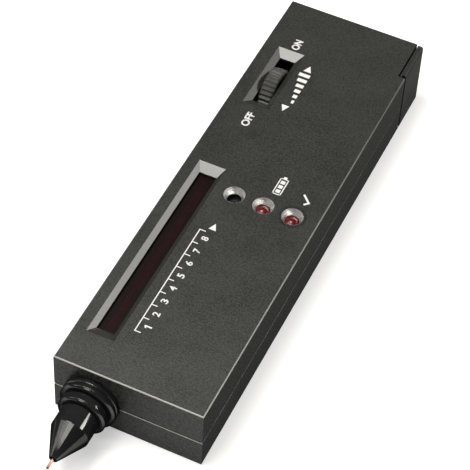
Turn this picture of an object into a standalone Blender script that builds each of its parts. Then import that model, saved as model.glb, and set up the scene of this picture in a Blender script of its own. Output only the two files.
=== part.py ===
"""Diamond tester: a hand-held thermal probe in a two-part plastic case.

X runs across the case, Y along it with the probe pointing to -Y, and Z up.
The origin is the centre of the case's underside. Distances named "from the
front" are measured back from the case's front face.
"""

import math

import bmesh
import bpy
from mathutils import Matrix, Vector

MM = 0.001

# Clearances and mesh settings
FIT = 0.3 * MM
OVERRUN = 2.0 * MM
MERGE = 0.01 * MM
SHARP_ANGLE = math.radians(35)
ROUND_STEPS = 32
FINE_STEPS = 16
ROUNDING_STEPS = 2

# Battery, a nine volt block lying along the rear right of the case
BATTERY_WIDTH = 26.5 * MM
BATTERY_LENGTH = 46.0 * MM
BATTERY_HEIGHT = 17.2 * MM
BATTERY_ROUND = 1.6 * MM
STUD_RADIUS = 2.9 * MM
STUD_HEIGHT = 2.6 * MM
STUD_SPACING = 12.7 * MM

# Battery cover, a plate with a rear wall and a right cheek
COVER_PLATE = 1.6 * MM
COVER_WALL = 1.8 * MM
CHEEK_THICKNESS = 1.75 * MM
CHEEK_LENGTH = 15.1 * MM
CHEEK_SLOT = 0.5 * MM
TONGUE_WIDTH = 0.7 * MM
TONGUE_THICKNESS = 0.6 * MM
GRIP_SLOTS = 5
GRIP_PITCH = 2.2 * MM
GRIP_WIDTH = 1.0 * MM
GRIP_LENGTH = 14.0 * MM
GRIP_DEPTH = 0.5 * MM
GRIP_FROM_REAR = 10.0 * MM

# Case shells
SIDE_WALL = 1.8 * MM
TOP_WALL = 2.0 * MM
BOTTOM_WALL = 1.8 * MM
BAY_ROOF = 1.6 * MM
BAY_WALL = 1.5 * MM
BAY_SIDE_GAP = 0.75 * MM
BAY_ROOF_GAP = 0.4 * MM
SEAM_GAP = 0.3 * MM
EDGE_ROUND = 0.3 * MM
LIP_HEIGHT = 1.0 * MM
LIP_THICKNESS = 0.7 * MM

# Display window over the light bar
WINDOW_FROM_FRONT = 11.3 * MM
WINDOW_LENGTH = 68.0 * MM
WINDOW_WIDTH = 8.1 * MM
WINDOW_FROM_LEFT = 7.65 * MM
WINDOW_SIDE_BEVEL = 1.4 * MM
WINDOW_END_BEVEL = 3.0 * MM
RECESS_DEPTH = 1.4 * MM
FILTER_THICKNESS = 1.0 * MM
FILTER_OVERLAP = 0.9 * MM
LIGHT_COUNT = 12
LIGHT_PITCH = 4.89 * MM
LIGHT_WIDTH = 2.0 * MM
FIRST_LIGHT_BEHIND_WINDOW_FRONT = 8.2 * MM

# Lamp bezels, the sound hole and the lamps
BEZEL_COUNT = 3
BEZEL_PITCH = 8.8 * MM
BEZELS_AHEAD_OF_WINDOW_END = 7.5 * MM
FIRST_BEZEL_RIGHT_OF_WINDOW = 10.2 * MM
LAST_BEZEL_FROM_RIGHT = 7.55 * MM
BEZEL_RADIUS = 3.3 * MM
BEZEL_LIP = 0.15 * MM
BEZEL_HOLE_RADIUS = 2.1 * MM
BEZEL_DEPTH = 2.0 * MM
BEZEL_SEAT_WIDTH = 0.8 * MM
BEZEL_SEAT_THICKNESS = 0.6 * MM
BEZEL_BOSS_WALL = 0.7 * MM
LAMP_RADIUS = 2.5 * MM
LAMP_RIM = 0.4 * MM
LAMP_RIM_HEIGHT = 1.0 * MM
LAMP_STAND_OFF = 0.8 * MM
LAMP_LEG_SPACING = 2.54 * MM
LAMP_LEG_WIDTH = 0.5 * MM

# Thumbwheel, its recess, spindle and screw
WHEEL_RADIUS = 8.0 * MM
WHEEL_WIDTH = 4.0 * MM
WHEEL_RISE = 1.1 * MM
WHEEL_RIBS = 32
WHEEL_RIB_DEPTH = 0.4 * MM
WHEEL_CHAMFER = 0.4 * MM
RIB_CORNER_SHARES = ((0.0, 0.0), (0.12, 1.0), (0.5, 1.0), (0.62, 0.0))
WHEEL_FROM_LEFT = 8.7 * MM
WHEEL_FROM_REAR = 32.9 * MM
WHEEL_TO_BAY_WALL = 1.0 * MM
WHEEL_RECESS_LENGTH = 25.5 * MM
WHEEL_RECESS_WIDTH = 8.3 * MM
WHEEL_SIDE_BEVEL = 1.8 * MM
WHEEL_END_BEVEL = 2.9 * MM
SPINDLE_RADIUS = 1.5 * MM
SPINDLE_IN_CONTROL = 3.0 * MM
SCREW_POCKET_RADIUS = 2.6 * MM
SCREW_POCKET_DEPTH = 1.3 * MM
WHEEL_SCREW_HEAD_RADIUS = 2.1 * MM
WHEEL_SCREW_HEAD = 0.9 * MM
WHEEL_SCREW_RADIUS = 0.7 * MM
WHEEL_SCREW_LENGTH = 3.0 * MM
CONTROL_THICKNESS = 3.8 * MM
CONTROL_SIDE_INSET = 0.2 * MM
CONTROL_LIFT = 0.9 * MM
TAG_COUNT = 3
TAG_PITCH = 2.6 * MM
TAG_WIDTH = 1.1 * MM
TAG_THICKNESS = 0.5 * MM

# Circuit board
BOARD_THICKNESS = 1.6 * MM
BOARD_DROP = 1.1 * MM
BOARD_EDGE_GAP = 0.5 * MM
BOARD_FROM_FRONT = 12.6 * MM
BOARD_ARM_WIDTH = 4.0 * MM
BOARD_ARM_PAST_WHEEL = 8.5 * MM

# Screws and their bosses
SCREW_INSET = 4.45 * MM
FRONT_SCREW_FROM_FRONT = 9.0 * MM
BOARD_SCREW_FROM_FRONT = 18.2 * MM
MIDDLE_SCREW_BEHIND_WINDOW = 10.7 * MM
MIDDLE_SCREW_AHEAD_OF_BAY = 7.7 * MM
REAR_SCREW_FROM_REAR = 6.4 * MM
CASE_SCREW_RADIUS = 1.25 * MM
CASE_SCREW_LENGTH = 11.5 * MM
CASE_SCREW_HEAD_RADIUS = 2.3 * MM
CASE_SCREW_HEAD = 1.6 * MM
CASE_SCREW_SINK = 3.7 * MM
LOWER_BOSS_RADIUS = 3.4 * MM
UPPER_BOSS_RADIUS = 3.0 * MM
BOARD_SCREW_RADIUS = 1.0 * MM
BOARD_SCREW_LENGTH = 5.0 * MM
BOARD_SCREW_HEAD_RADIUS = 1.8 * MM
BOARD_SCREW_HEAD = 1.3 * MM
POST_RADIUS = 2.2 * MM
CROSS_WIDTH = 0.6 * MM
CROSS_SHARE = 0.6
CROSS_DEPTH_SHARE = 0.55

# Probe nose, turned round an axis on the seam of the case
NOSE_FROM_LEFT = 11.2 * MM
FLANGE_RADIUS = 8.1 * MM
FLANGE_LENGTH = 3.4 * MM
FLANGE_STEP = 0.5 * MM
FLANGE_GROOVE = 0.5 * MM
NECK_RADIUS = 6.3 * MM
INNER_FLANGE_RADIUS = 7.5 * MM
INNER_FLANGE_LENGTH = 1.5 * MM
INNER_FLANGE_GAP = 0.4 * MM
COLLAR_RADIUS = 6.9 * MM
COLLAR_LENGTH = 2.9 * MM
COLLAR_CHAMFER = 0.45 * MM
CONE_SLEEVE_RADIUS = 5.4 * MM
CONE_SLEEVE_LENGTH = 5.7 * MM
CONE_LENGTH = 8.8 * MM
CONE_TIP_RADIUS = 1.2 * MM
CONE_STUB_RADIUS = 4.8 * MM
CONE_STUB_REACH = 1.0 * MM
TUBE_RADIUS = 3.0 * MM
TUBE_WALL = 0.5 * MM
TUBE_REACH = 9.0 * MM
TUBE_END = 1.6 * MM
PIN_RADIUS = 0.4 * MM
PIN_REACH = 3.3 * MM
PIN_NECK = 1.6 * MM
PIN_SHANK_RADIUS = 0.9 * MM
PIN_SHANK_LENGTH = 8.4 * MM
PIN_TRAVEL = 1.5 * MM
CARRIER_LENGTH = 5.5 * MM
CARRIER_SOCKET = 3.0 * MM
SPIGOT_RADIUS = 1.1 * MM
SPIGOT_LENGTH = 2.5 * MM
SPRING_WIRE_RADIUS = 0.2 * MM
SPRING_RADIUS = 1.75 * MM
SPRING_TURNS = 8
SPRING_TURN_STEPS = 10
LEAD_RADIUS = 0.3 * MM
LEAD_SPACING = 1.0 * MM
LEAD_HOLE_RADIUS = 1.2 * MM

# Snap connector and battery leads
CONNECTOR_THICKNESS = 5.0 * MM
CONNECTOR_HEIGHT = 12.5 * MM
CONNECTOR_ROUND = 1.5 * MM
BATTERY_LEAD_RADIUS = 0.6 * MM
BATTERY_LEAD_SPACING = 3.2 * MM
BATTERY_LEAD_RUN = 9.0 * MM
BATTERY_LEAD_RISE = 1.1 * MM
BATTERY_LEAD_BEND_SHARES = (0.25, 0.75)
LEAD_SLOT_WIDTH = 8.0 * MM
LEAD_SLOT_HEIGHT = 3.6 * MM

# Parts soldered to the board
CHIP_WIDTH = 6.4 * MM
CHIP_HEIGHT = 3.3 * MM
CHIP_LIFT = 0.6 * MM
CHIP_LEG_PITCH = 2.54 * MM
CHIP_LEG_WIDTH = 0.6 * MM
CHIP_LEG_THICKNESS = 0.5 * MM
DRIVER_LEGS = 9
AMPLIFIER_LEGS = 4
DRIVER_COUNT = 2
DRIVER_RIGHT_OF_WINDOW = 12.5 * MM
DRIVER_SPACING = 10.0 * MM
DRIVER_FROM_BOARD_FRONT = 5.5 * MM
PART_GAP = 2.0 * MM
CAPACITOR_RADIUS = 2.5 * MM
CAPACITOR_BELOW_CEILING = 1.6 * MM
CAPACITOR_COUNT = 3
CAPACITOR_PITCH = 8.0 * MM
CAPACITOR_TO_DRIVER = 1.0 * MM
TRIMMER_SIZE = 6.6 * MM
TRIMMER_HEIGHT = 4.6 * MM
TRIMMER_ROTOR_RADIUS = 2.0 * MM
TRIMMER_ROTOR_HEIGHT = 0.9 * MM
TRIMMER_COUNT = 2
TRIMMER_SPACING = 0.7 * MM
RESISTOR_RADIUS = 1.1 * MM
RESISTOR_WAIST = 0.2 * MM
RESISTOR_LENGTH = 5.6 * MM
RESISTOR_SPAN = 8.4 * MM
RESISTOR_WIRE_RADIUS = 0.3 * MM
RESISTOR_COUNT = 2
RESISTOR_PITCH = 4.0 * MM
FIRST_RESISTOR_AHEAD_OF_BAY = 18.2 * MM
RESISTOR_COLUMNS = 2
RESISTOR_COLUMN_PITCH = 11.0 * MM
BUZZER_RADIUS = 4.7 * MM
BUZZER_BELOW_BEZEL = 0.9 * MM
BUZZER_HOLE_RADIUS = 1.0 * MM
BUZZER_HOLE_DEPTH = 1.0 * MM

# Outer sizes of the case, worked out from what it holds
BAY_LENGTH = COVER_WALL + FIT + BATTERY_LENGTH + FIT + CONNECTOR_THICKNESS + FIT
BAY_WIDTH = BATTERY_WIDTH + 2 * BAY_SIDE_GAP
FRONT_TO_MIDDLE_SCREW = WINDOW_FROM_FRONT + WINDOW_LENGTH + MIDDLE_SCREW_BEHIND_WINDOW
CASE_LENGTH = FRONT_TO_MIDDLE_SCREW + MIDDLE_SCREW_AHEAD_OF_BAY + BAY_LENGTH
WHEEL_STRIP_WIDTH = WHEEL_FROM_LEFT + WHEEL_WIDTH / 2 + WHEEL_TO_BAY_WALL
WIDTH_AT_BAY = WHEEL_STRIP_WIDTH + BAY_WALL + BAY_WIDTH + SIDE_WALL
BEZEL_ROW_WIDTH = (BEZEL_COUNT - 1) * BEZEL_PITCH + LAST_BEZEL_FROM_RIGHT
WIDTH_AT_BEZELS = WINDOW_FROM_LEFT + FIRST_BEZEL_RIGHT_OF_WINDOW + BEZEL_ROW_WIDTH
CASE_WIDTH = max(WIDTH_AT_BAY, WIDTH_AT_BEZELS)
SEAM_HEIGHT = BOTTOM_WALL + INNER_FLANGE_GAP + INNER_FLANGE_RADIUS
HEIGHT_AT_BAY = COVER_PLATE + FIT + BATTERY_HEIGHT + BAY_ROOF_GAP + BAY_ROOF
HEIGHT_AT_NOSE = SEAM_HEIGHT + INNER_FLANGE_RADIUS + INNER_FLANGE_GAP + TOP_WALL
CASE_HEIGHT = max(HEIGHT_AT_BAY, HEIGHT_AT_NOSE)

# Places worked out from the sizes above
LEFT = -CASE_WIDTH / 2
RIGHT = CASE_WIDTH / 2
FRONT = -CASE_LENGTH / 2
REAR = CASE_LENGTH / 2
INNER_LEFT = LEFT + SIDE_WALL
INNER_RIGHT = RIGHT - SIDE_WALL
INNER_FRONT = FRONT + SIDE_WALL
INNER_REAR = REAR - SIDE_WALL
LOWER_TOP = SEAM_HEIGHT - SEAM_GAP / 2
UPPER_BASE = SEAM_HEIGHT + SEAM_GAP / 2
CEILING = CASE_HEIGHT - TOP_WALL
BAY_CEILING = CASE_HEIGHT - BAY_ROOF
BOARD_BASE = SEAM_HEIGHT - BOARD_DROP
BOARD_TOP = BOARD_BASE + BOARD_THICKNESS
PART_BASE = BOARD_TOP + FIT

BATTERY_REAR = REAR - COVER_WALL - FIT
BATTERY_FRONT = BATTERY_REAR - BATTERY_LENGTH
CONNECTOR_REAR = BATTERY_FRONT - FIT
CONNECTOR_FRONT = CONNECTOR_REAR - CONNECTOR_THICKNESS
BAY_FRONT = CONNECTOR_FRONT - FIT
BAY_RIGHT = INNER_RIGHT
BAY_LEFT = BAY_RIGHT - BAY_WIDTH
BATTERY_X = (BAY_LEFT + BAY_RIGHT) / 2
BATTERY_BASE = COVER_PLATE + FIT
BATTERY_MIDDLE = BATTERY_BASE + BATTERY_HEIGHT / 2
ROOF_RIGHT = RIGHT - CHEEK_THICKNESS - CHEEK_SLOT
CHEEK_FRONT = REAR - CHEEK_LENGTH

WINDOW_X = LEFT + WINDOW_FROM_LEFT
WINDOW_FRONT = FRONT + WINDOW_FROM_FRONT
WINDOW_Y = WINDOW_FRONT + WINDOW_LENGTH / 2
FILTER_TOP = CEILING - FIT
LIGHT_TOP = FILTER_TOP - FILTER_THICKNESS - FIT

BEZEL_Y = WINDOW_FRONT + WINDOW_LENGTH - BEZELS_AHEAD_OF_WINDOW_END
BEZEL_BASE = CASE_HEIGHT - BEZEL_DEPTH
FIRST_BEZEL_X = WINDOW_X + FIRST_BEZEL_RIGHT_OF_WINDOW
BEZEL_XS = [FIRST_BEZEL_X + place * BEZEL_PITCH for place in range(BEZEL_COUNT)]
BEZEL_BORE_RADIUS = BEZEL_RADIUS + FIT
BEZEL_SEAT = BEZEL_BASE - FIT
BEZEL_BOSS_BASE = BEZEL_SEAT - BEZEL_SEAT_THICKNESS
LAMP_DOME_DROP = math.sqrt(LAMP_RADIUS ** 2 - (BEZEL_HOLE_RADIUS - FIT) ** 2)
LAMP_DOME_MIDDLE = BEZEL_BASE - LAMP_DOME_DROP
LAMP_BODY_HEIGHT = LAMP_DOME_MIDDLE - PART_BASE - LAMP_STAND_OFF
BUZZER_TOP = BEZEL_BOSS_BASE - BUZZER_BELOW_BEZEL

WHEEL_X = LEFT + WHEEL_FROM_LEFT
WHEEL_Y = REAR - WHEEL_FROM_REAR
WHEEL_Z = CASE_HEIGHT + WHEEL_RISE - WHEEL_RADIUS
WHEEL_RIGHT = WHEEL_X + WHEEL_WIDTH / 2
WHEEL_LEFT = WHEEL_X - WHEEL_WIDTH / 2
CONTROL_RADIUS = CEILING - FIT - WHEEL_Z
CONTROL_LEFT = INNER_LEFT + CONTROL_SIDE_INSET
CONTROL_RIGHT = CONTROL_LEFT + CONTROL_THICKNESS
SCREW_SEAT = WHEEL_RIGHT - SCREW_POCKET_DEPTH

NOSE_X = LEFT + NOSE_FROM_LEFT
NOSE_Z = SEAM_HEIGHT
COLLAR_START = FLANGE_LENGTH + FIT
COLLAR_END = COLLAR_START + COLLAR_LENGTH
SLEEVE_START = COLLAR_END + FIT
CONE_START = SLEEVE_START + CONE_SLEEVE_LENGTH
CONE_END = CONE_START + CONE_LENGTH
STUB_BORE_RADIUS = TUBE_RADIUS + FIT
TUBE_FRONT = CONE_START - FIT
PIN_TIP = CONE_END + PIN_REACH
PIN_SHOULDER = CONE_END - PIN_NECK
PIN_REAR = PIN_SHOULDER - PIN_SHANK_LENGTH
CARRIER_FRONT = PIN_REAR + CARRIER_SOCKET - FIT
CARRIER_RADIUS = TUBE_RADIUS - TUBE_WALL - FIT
CARRIER_REAR = CARRIER_FRONT - CARRIER_LENGTH
SPRING_FRONT = CARRIER_REAR - FIT
SPRING_REAR = -TUBE_REACH + TUBE_END + FIT

SCREW_LEFT = LEFT + SCREW_INSET
SCREW_RIGHT = RIGHT - SCREW_INSET
MIDDLE_SCREW_Y = FRONT + FRONT_TO_MIDDLE_SCREW
CASE_SCREW_PLACES = (
    (SCREW_RIGHT, FRONT + FRONT_SCREW_FROM_FRONT),
    (SCREW_LEFT, MIDDLE_SCREW_Y),
    (SCREW_RIGHT, MIDDLE_SCREW_Y),
    (SCREW_LEFT, REAR - REAR_SCREW_FROM_REAR),
)
BOARD_CLAMPS = CASE_SCREW_PLACES[1:3]
BOARD_SCREW_PLACES = (
    (SCREW_LEFT, FRONT + BOARD_SCREW_FROM_FRONT),
    (SCREW_RIGHT, FRONT + BOARD_SCREW_FROM_FRONT),
)
BOARD_FRONT = FRONT + BOARD_FROM_FRONT
BOARD_REAR = BAY_FRONT - BAY_WALL - FIT
BOARD_ARM_REAR = WHEEL_Y + BOARD_ARM_PAST_WHEEL
DRIVER_X = WINDOW_X + DRIVER_RIGHT_OF_WINDOW
LAST_DRIVER_X = DRIVER_X + (DRIVER_COUNT - 1) * DRIVER_SPACING
DRIVER_LENGTH = DRIVER_LEGS * CHIP_LEG_PITCH
AMPLIFIER_LENGTH = AMPLIFIER_LEGS * CHIP_LEG_PITCH
DRIVER_Y = BOARD_FRONT + DRIVER_FROM_BOARD_FRONT + DRIVER_LENGTH / 2
BEHIND_DRIVERS = DRIVER_Y + DRIVER_LENGTH / 2 + PART_GAP
AMPLIFIER_Y = BEHIND_DRIVERS + AMPLIFIER_LENGTH / 2
FIRST_TRIMMER_Y = BEHIND_DRIVERS + TRIMMER_SIZE / 2
CAPACITOR_X = (
    LAST_DRIVER_X + CHIP_WIDTH / 2 + CHIP_LEG_THICKNESS + CAPACITOR_TO_DRIVER + CAPACITOR_RADIUS
)
FIRST_RESISTOR_Y = BAY_FRONT - FIRST_RESISTOR_AHEAD_OF_BAY

# Colours, as linear red, green and blue
CASE_BLACK = (0.052, 0.052, 0.048)
NOSE_BLACK = (0.012, 0.012, 0.013)
SILVER = (0.72, 0.72, 0.70)
STEEL = (0.55, 0.55, 0.56)
COPPER = (0.86, 0.43, 0.30)
BRASS = (0.75, 0.55, 0.22)
LIGHT_RED = (0.62, 0.02, 0.015)
FILTER_RED = (0.25, 0.01, 0.01)
BOARD_GREEN = (0.03, 0.16, 0.06)
PLAIN_BLUE = (0.03, 0.09, 0.35)
BEIGE = (0.60, 0.46, 0.28)

X_WAYS = Matrix.Rotation(math.pi / 2, 4, "Y")
Y_FORWARDS = Matrix.Rotation(math.pi / 2, 4, "X")


def clear_scene():
    """Remove every object that the scene starts with."""
    for thing in list(bpy.data.objects):
        bpy.data.objects.remove(thing, do_unlink=True)


def new_collection(name):
    """Make a collection under the scene's own."""
    made = bpy.data.collections.new(name)
    bpy.context.scene.collection.children.link(made)
    return made


clear_scene()
PARTS = new_collection("diamond_tester")
CUTTERS = new_collection("cutters")


def paint(thing, colour, roughness, metallic=0.0):
    """Give an object its own plain material."""
    material = bpy.data.materials.new(thing.name)
    material.use_nodes = True
    shader = material.node_tree.nodes["Principled BSDF"]
    shader.inputs["Base Color"].default_value = (*colour, 1.0)
    shader.inputs["Roughness"].default_value = roughness
    shader.inputs["Metallic"].default_value = metallic
    thing.data.materials.append(material)
    return thing


def shade(mesh):
    """Shade a mesh smooth, with its corners kept sharp."""
    mesh.shade_smooth()
    mesh.set_sharp_from_angle(angle=SHARP_ANGLE)


def object_from(name, bm, place=None):
    """Turn a bmesh into a visible part."""
    mesh = bpy.data.meshes.new(name)
    bm.to_mesh(mesh)
    bm.free()
    shade(mesh)
    made = bpy.data.objects.new(name, mesh)
    PARTS.objects.link(made)
    if place is not None:
        made.matrix_world = place
    return made


def as_tool(thing):
    """Keep an object as a hidden guide for Booleans."""
    PARTS.objects.unlink(thing)
    CUTTERS.objects.link(thing)
    thing.hide_render = True
    thing.display_type = "WIRE"
    return thing


def combine(target, tool, operation):
    """Add a Boolean of a tool to a part."""
    if tool.name not in CUTTERS.objects:
        as_tool(tool)
    step = target.modifiers.new(tool.name, "BOOLEAN")
    step.operation = operation
    step.solver = "EXACT"
    step.object = tool


def cut(target, *tools):
    """Take tools away from a part."""
    for tool in tools:
        combine(target, tool, "DIFFERENCE")


def join(target, *tools):
    """Add tools to a part."""
    for tool in tools:
        combine(target, tool, "UNION")


def add_box(bm, low, high):
    """Add a box between two opposite corners."""
    size = [high[axis] - low[axis] for axis in range(3)]
    middle = [(high[axis] + low[axis]) / 2 for axis in range(3)]
    place = Matrix.Translation(middle) @ Matrix.Diagonal((*size, 1.0))
    return bmesh.ops.create_cube(bm, size=1.0, matrix=place)["verts"]


def box(name, low, high):
    """Make a box object between two opposite corners."""
    bm = bmesh.new()
    add_box(bm, low, high)
    return object_from(name, bm)


def boxes(name, corner_pairs):
    """Make one object of several boxes that don't touch."""
    bm = bmesh.new()
    for low, high in corner_pairs:
        add_box(bm, low, high)
    return object_from(name, bm)


def round_edges(bm, chosen, radius):
    """Round the edges that a test picks."""
    edges = [edge for edge in bm.edges if chosen(edge)]
    bmesh.ops.bevel(
        bm, geom=edges, offset=radius, segments=ROUNDING_STEPS, profile=0.5, affect="EDGES"
    )


def add_rod(bm, start, direction, length, radius, steps=FINE_STEPS):
    """Add a cylinder that runs from a start point in a direction."""
    heading = Vector(direction).to_track_quat("Z", "Y").to_matrix().to_4x4()
    middle = Vector(start) + Vector(direction) * (length / 2)
    bmesh.ops.create_cone(
        bm, cap_ends=True, segments=steps, radius1=radius, radius2=radius, depth=length,
        matrix=Matrix.Translation(middle) @ heading,
    )


def rods(name, places, base, top, radius, steps=FINE_STEPS):
    """Make upright cylinders at several places, as one object."""
    bm = bmesh.new()
    for x, y in places:
        add_rod(bm, (x, y, base), (0, 0, 1), top - base, radius, steps)
    return object_from(name, bm)


def rod(name, start, direction, length, radius, steps=FINE_STEPS):
    """Make one cylinder object."""
    bm = bmesh.new()
    add_rod(bm, start, direction, length, radius, steps)
    return object_from(name, bm)


def turned(name, profile, place, steps=ROUND_STEPS):
    """Turn a profile of (radius, height) points, from top to bottom, round local Z.

    A profile that ends where it starts makes a ring.
    """
    closed = profile[0] == profile[-1]
    points = profile[:-1] if closed else profile
    bm = bmesh.new()
    corners = [bm.verts.new((radius, 0, height)) for radius, height in points]
    for first, second in zip(corners, corners[1:]):
        bm.edges.new((first, second))
    if closed:
        bm.edges.new((corners[-1], corners[0]))
    made = object_from(name, bm, place)
    screw = made.modifiers.new("turn", "SCREW")
    screw.axis = "Z"
    screw.steps = steps
    screw.render_steps = steps
    screw.use_merge_vertices = True
    screw.merge_threshold = MERGE
    return solid_from(made)


def weld(mesh):
    """Join the loose caps and seams of a mesh."""
    bm = bmesh.new()
    bm.from_mesh(mesh)
    bmesh.ops.remove_doubles(bm, verts=bm.verts, dist=MERGE)
    bm.to_mesh(mesh)
    bm.free()


def finished_mesh(thing):
    """Return an object's evaluated mesh in its own space, and remove the object."""
    bpy.context.view_layer.update()
    graph = bpy.context.evaluated_depsgraph_get()
    mesh = bpy.data.meshes.new_from_object(thing.evaluated_get(graph), depsgraph=graph)
    weld(mesh)
    shade(mesh)
    bpy.data.objects.remove(thing, do_unlink=True)
    return mesh


def dome(radius, top):
    """Return the profile of a half ball, from its highest point down to its widest."""
    quarter = FINE_STEPS // 4
    points = [(0, top)]
    for step in range(1, quarter + 1):
        angle = math.pi / 2 * (1 - step / quarter)
        points.append((radius * math.cos(angle), top - radius * (1 - math.sin(angle))))
    return points


def solid_from(thing):
    """Turn a curve or a stack of modifiers into a plain mesh part, named and placed alike."""
    name = thing.name
    bpy.context.view_layer.update()
    place = thing.matrix_world.copy()
    made = bpy.data.objects.new(name, finished_mesh(thing))
    PARTS.objects.link(made)
    made.matrix_world = place
    return made


def copies(name, mesh, places):
    """Make one object for each place, all of one mesh, and return the first of them."""
    made = []
    for number, place in enumerate(places, 1):
        made.append(bpy.data.objects.new(f"{name}_{number}", mesh))
        PARTS.objects.link(made[-1])
        made[-1].matrix_world = place
    return made[0]


def plate(name, outline, base, thickness, chamfer=0.0):
    """Make a flat plate from a closed outline, with chamfered edges if asked."""
    curve = bpy.data.curves.new(name, "CURVE")
    curve.dimensions = "2D"
    curve.fill_mode = "BOTH"
    curve.extrude = thickness / 2 - chamfer
    curve.bevel_depth = chamfer
    curve.bevel_resolution = 0
    curve.offset = -chamfer
    spline = curve.splines.new("POLY")
    spline.points.add(len(outline) - 1)
    for point, (x, y) in zip(spline.points, outline):
        point.co = (x, y, 0, 1)
    spline.use_cyclic_u = True
    made = bpy.data.objects.new(name, curve)
    PARTS.objects.link(made)
    made.location.z = base + thickness / 2
    return solid_from(made)


def wire(name, routes, radius, sides=2):
    """Make round wire along one or more lists of points."""
    curve = bpy.data.curves.new(name, "CURVE")
    curve.dimensions = "3D"
    curve.bevel_depth = radius
    curve.bevel_resolution = sides
    curve.use_fill_caps = True
    for route in routes:
        spline = curve.splines.new("POLY")
        spline.points.add(len(route) - 1)
        for point, place in zip(spline.points, route):
            point.co = (*place, 1)
    made = bpy.data.objects.new(name, curve)
    PARTS.objects.link(made)
    return made


def smooth_route(points, steps=5):
    """Return points along a smooth curve through a route's own points."""
    ends = [points[0] * 2 - points[1]] + points + [points[-1] * 2 - points[-2]]
    route = []
    for a, b, c, d in zip(ends, ends[1:], ends[2:], ends[3:]):
        for step in range(steps):
            t = step / steps
            bend = (a * 2 - b * 5 + c * 4 - d) * t * t + (b * 3 - a - c * 3 + d) * t * t * t
            route.append(b + ((c - a) * t + bend) / 2)
    route.append(points[-1])
    return route


def recess(name, x, y, width, length, side_bevel, end_bevel):
    """Make the cutter of an opening in the top whose four sides slope outwards."""
    half_width = width / 2 - side_bevel
    half_length = length / 2 - end_bevel
    bottom = CASE_HEIGHT - RECESS_DEPTH
    low = (x - half_width, y - half_length, CEILING - OVERRUN)
    high = (x + half_width, y + half_length, bottom)
    bm = bmesh.new()
    add_box(bm, low, high)
    top = max(bm.faces, key=lambda face: face.calc_center_median().z)
    flared = bmesh.ops.extrude_face_region(bm, geom=[top])["geom"]
    corners = [item for item in flared if isinstance(item, bmesh.types.BMVert)]
    growth = (RECESS_DEPTH + OVERRUN) / RECESS_DEPTH
    for corner in corners:
        corner.co.x += math.copysign(side_bevel * growth, corner.co.x - x)
        corner.co.y += math.copysign(end_bevel * growth, corner.co.y - y)
        corner.co.z += RECESS_DEPTH + OVERRUN
    if top.is_valid:
        bmesh.ops.delete(bm, geom=[top], context="FACES")
    bmesh.ops.recalc_face_normals(bm, faces=bm.faces)
    return object_from(name, bm)


def nose_place(distance=0.0):
    """Place a turned part on the probe axis, a distance in front of the case."""
    return Matrix.Translation((NOSE_X, FRONT - distance, NOSE_Z)) @ Y_FORWARDS


def nose_hole():
    """Make the cutter of the hole in the front wall that the probe's neck passes."""
    start = (NOSE_X, FRONT - OVERRUN, NOSE_Z)
    length = SIDE_WALL + 2 * OVERRUN
    return rod("nose_hole", start, (0, 1, 0), length, NECK_RADIUS + FIT, ROUND_STEPS)


def lip_outline(extra):
    """Return the lip's outer corners, let out by an extra width."""
    reach = LIP_THICKNESS + extra
    low = (INNER_LEFT - reach, INNER_FRONT - reach)
    high = (INNER_RIGHT + reach, INNER_REAR + reach)
    return low, high


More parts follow.
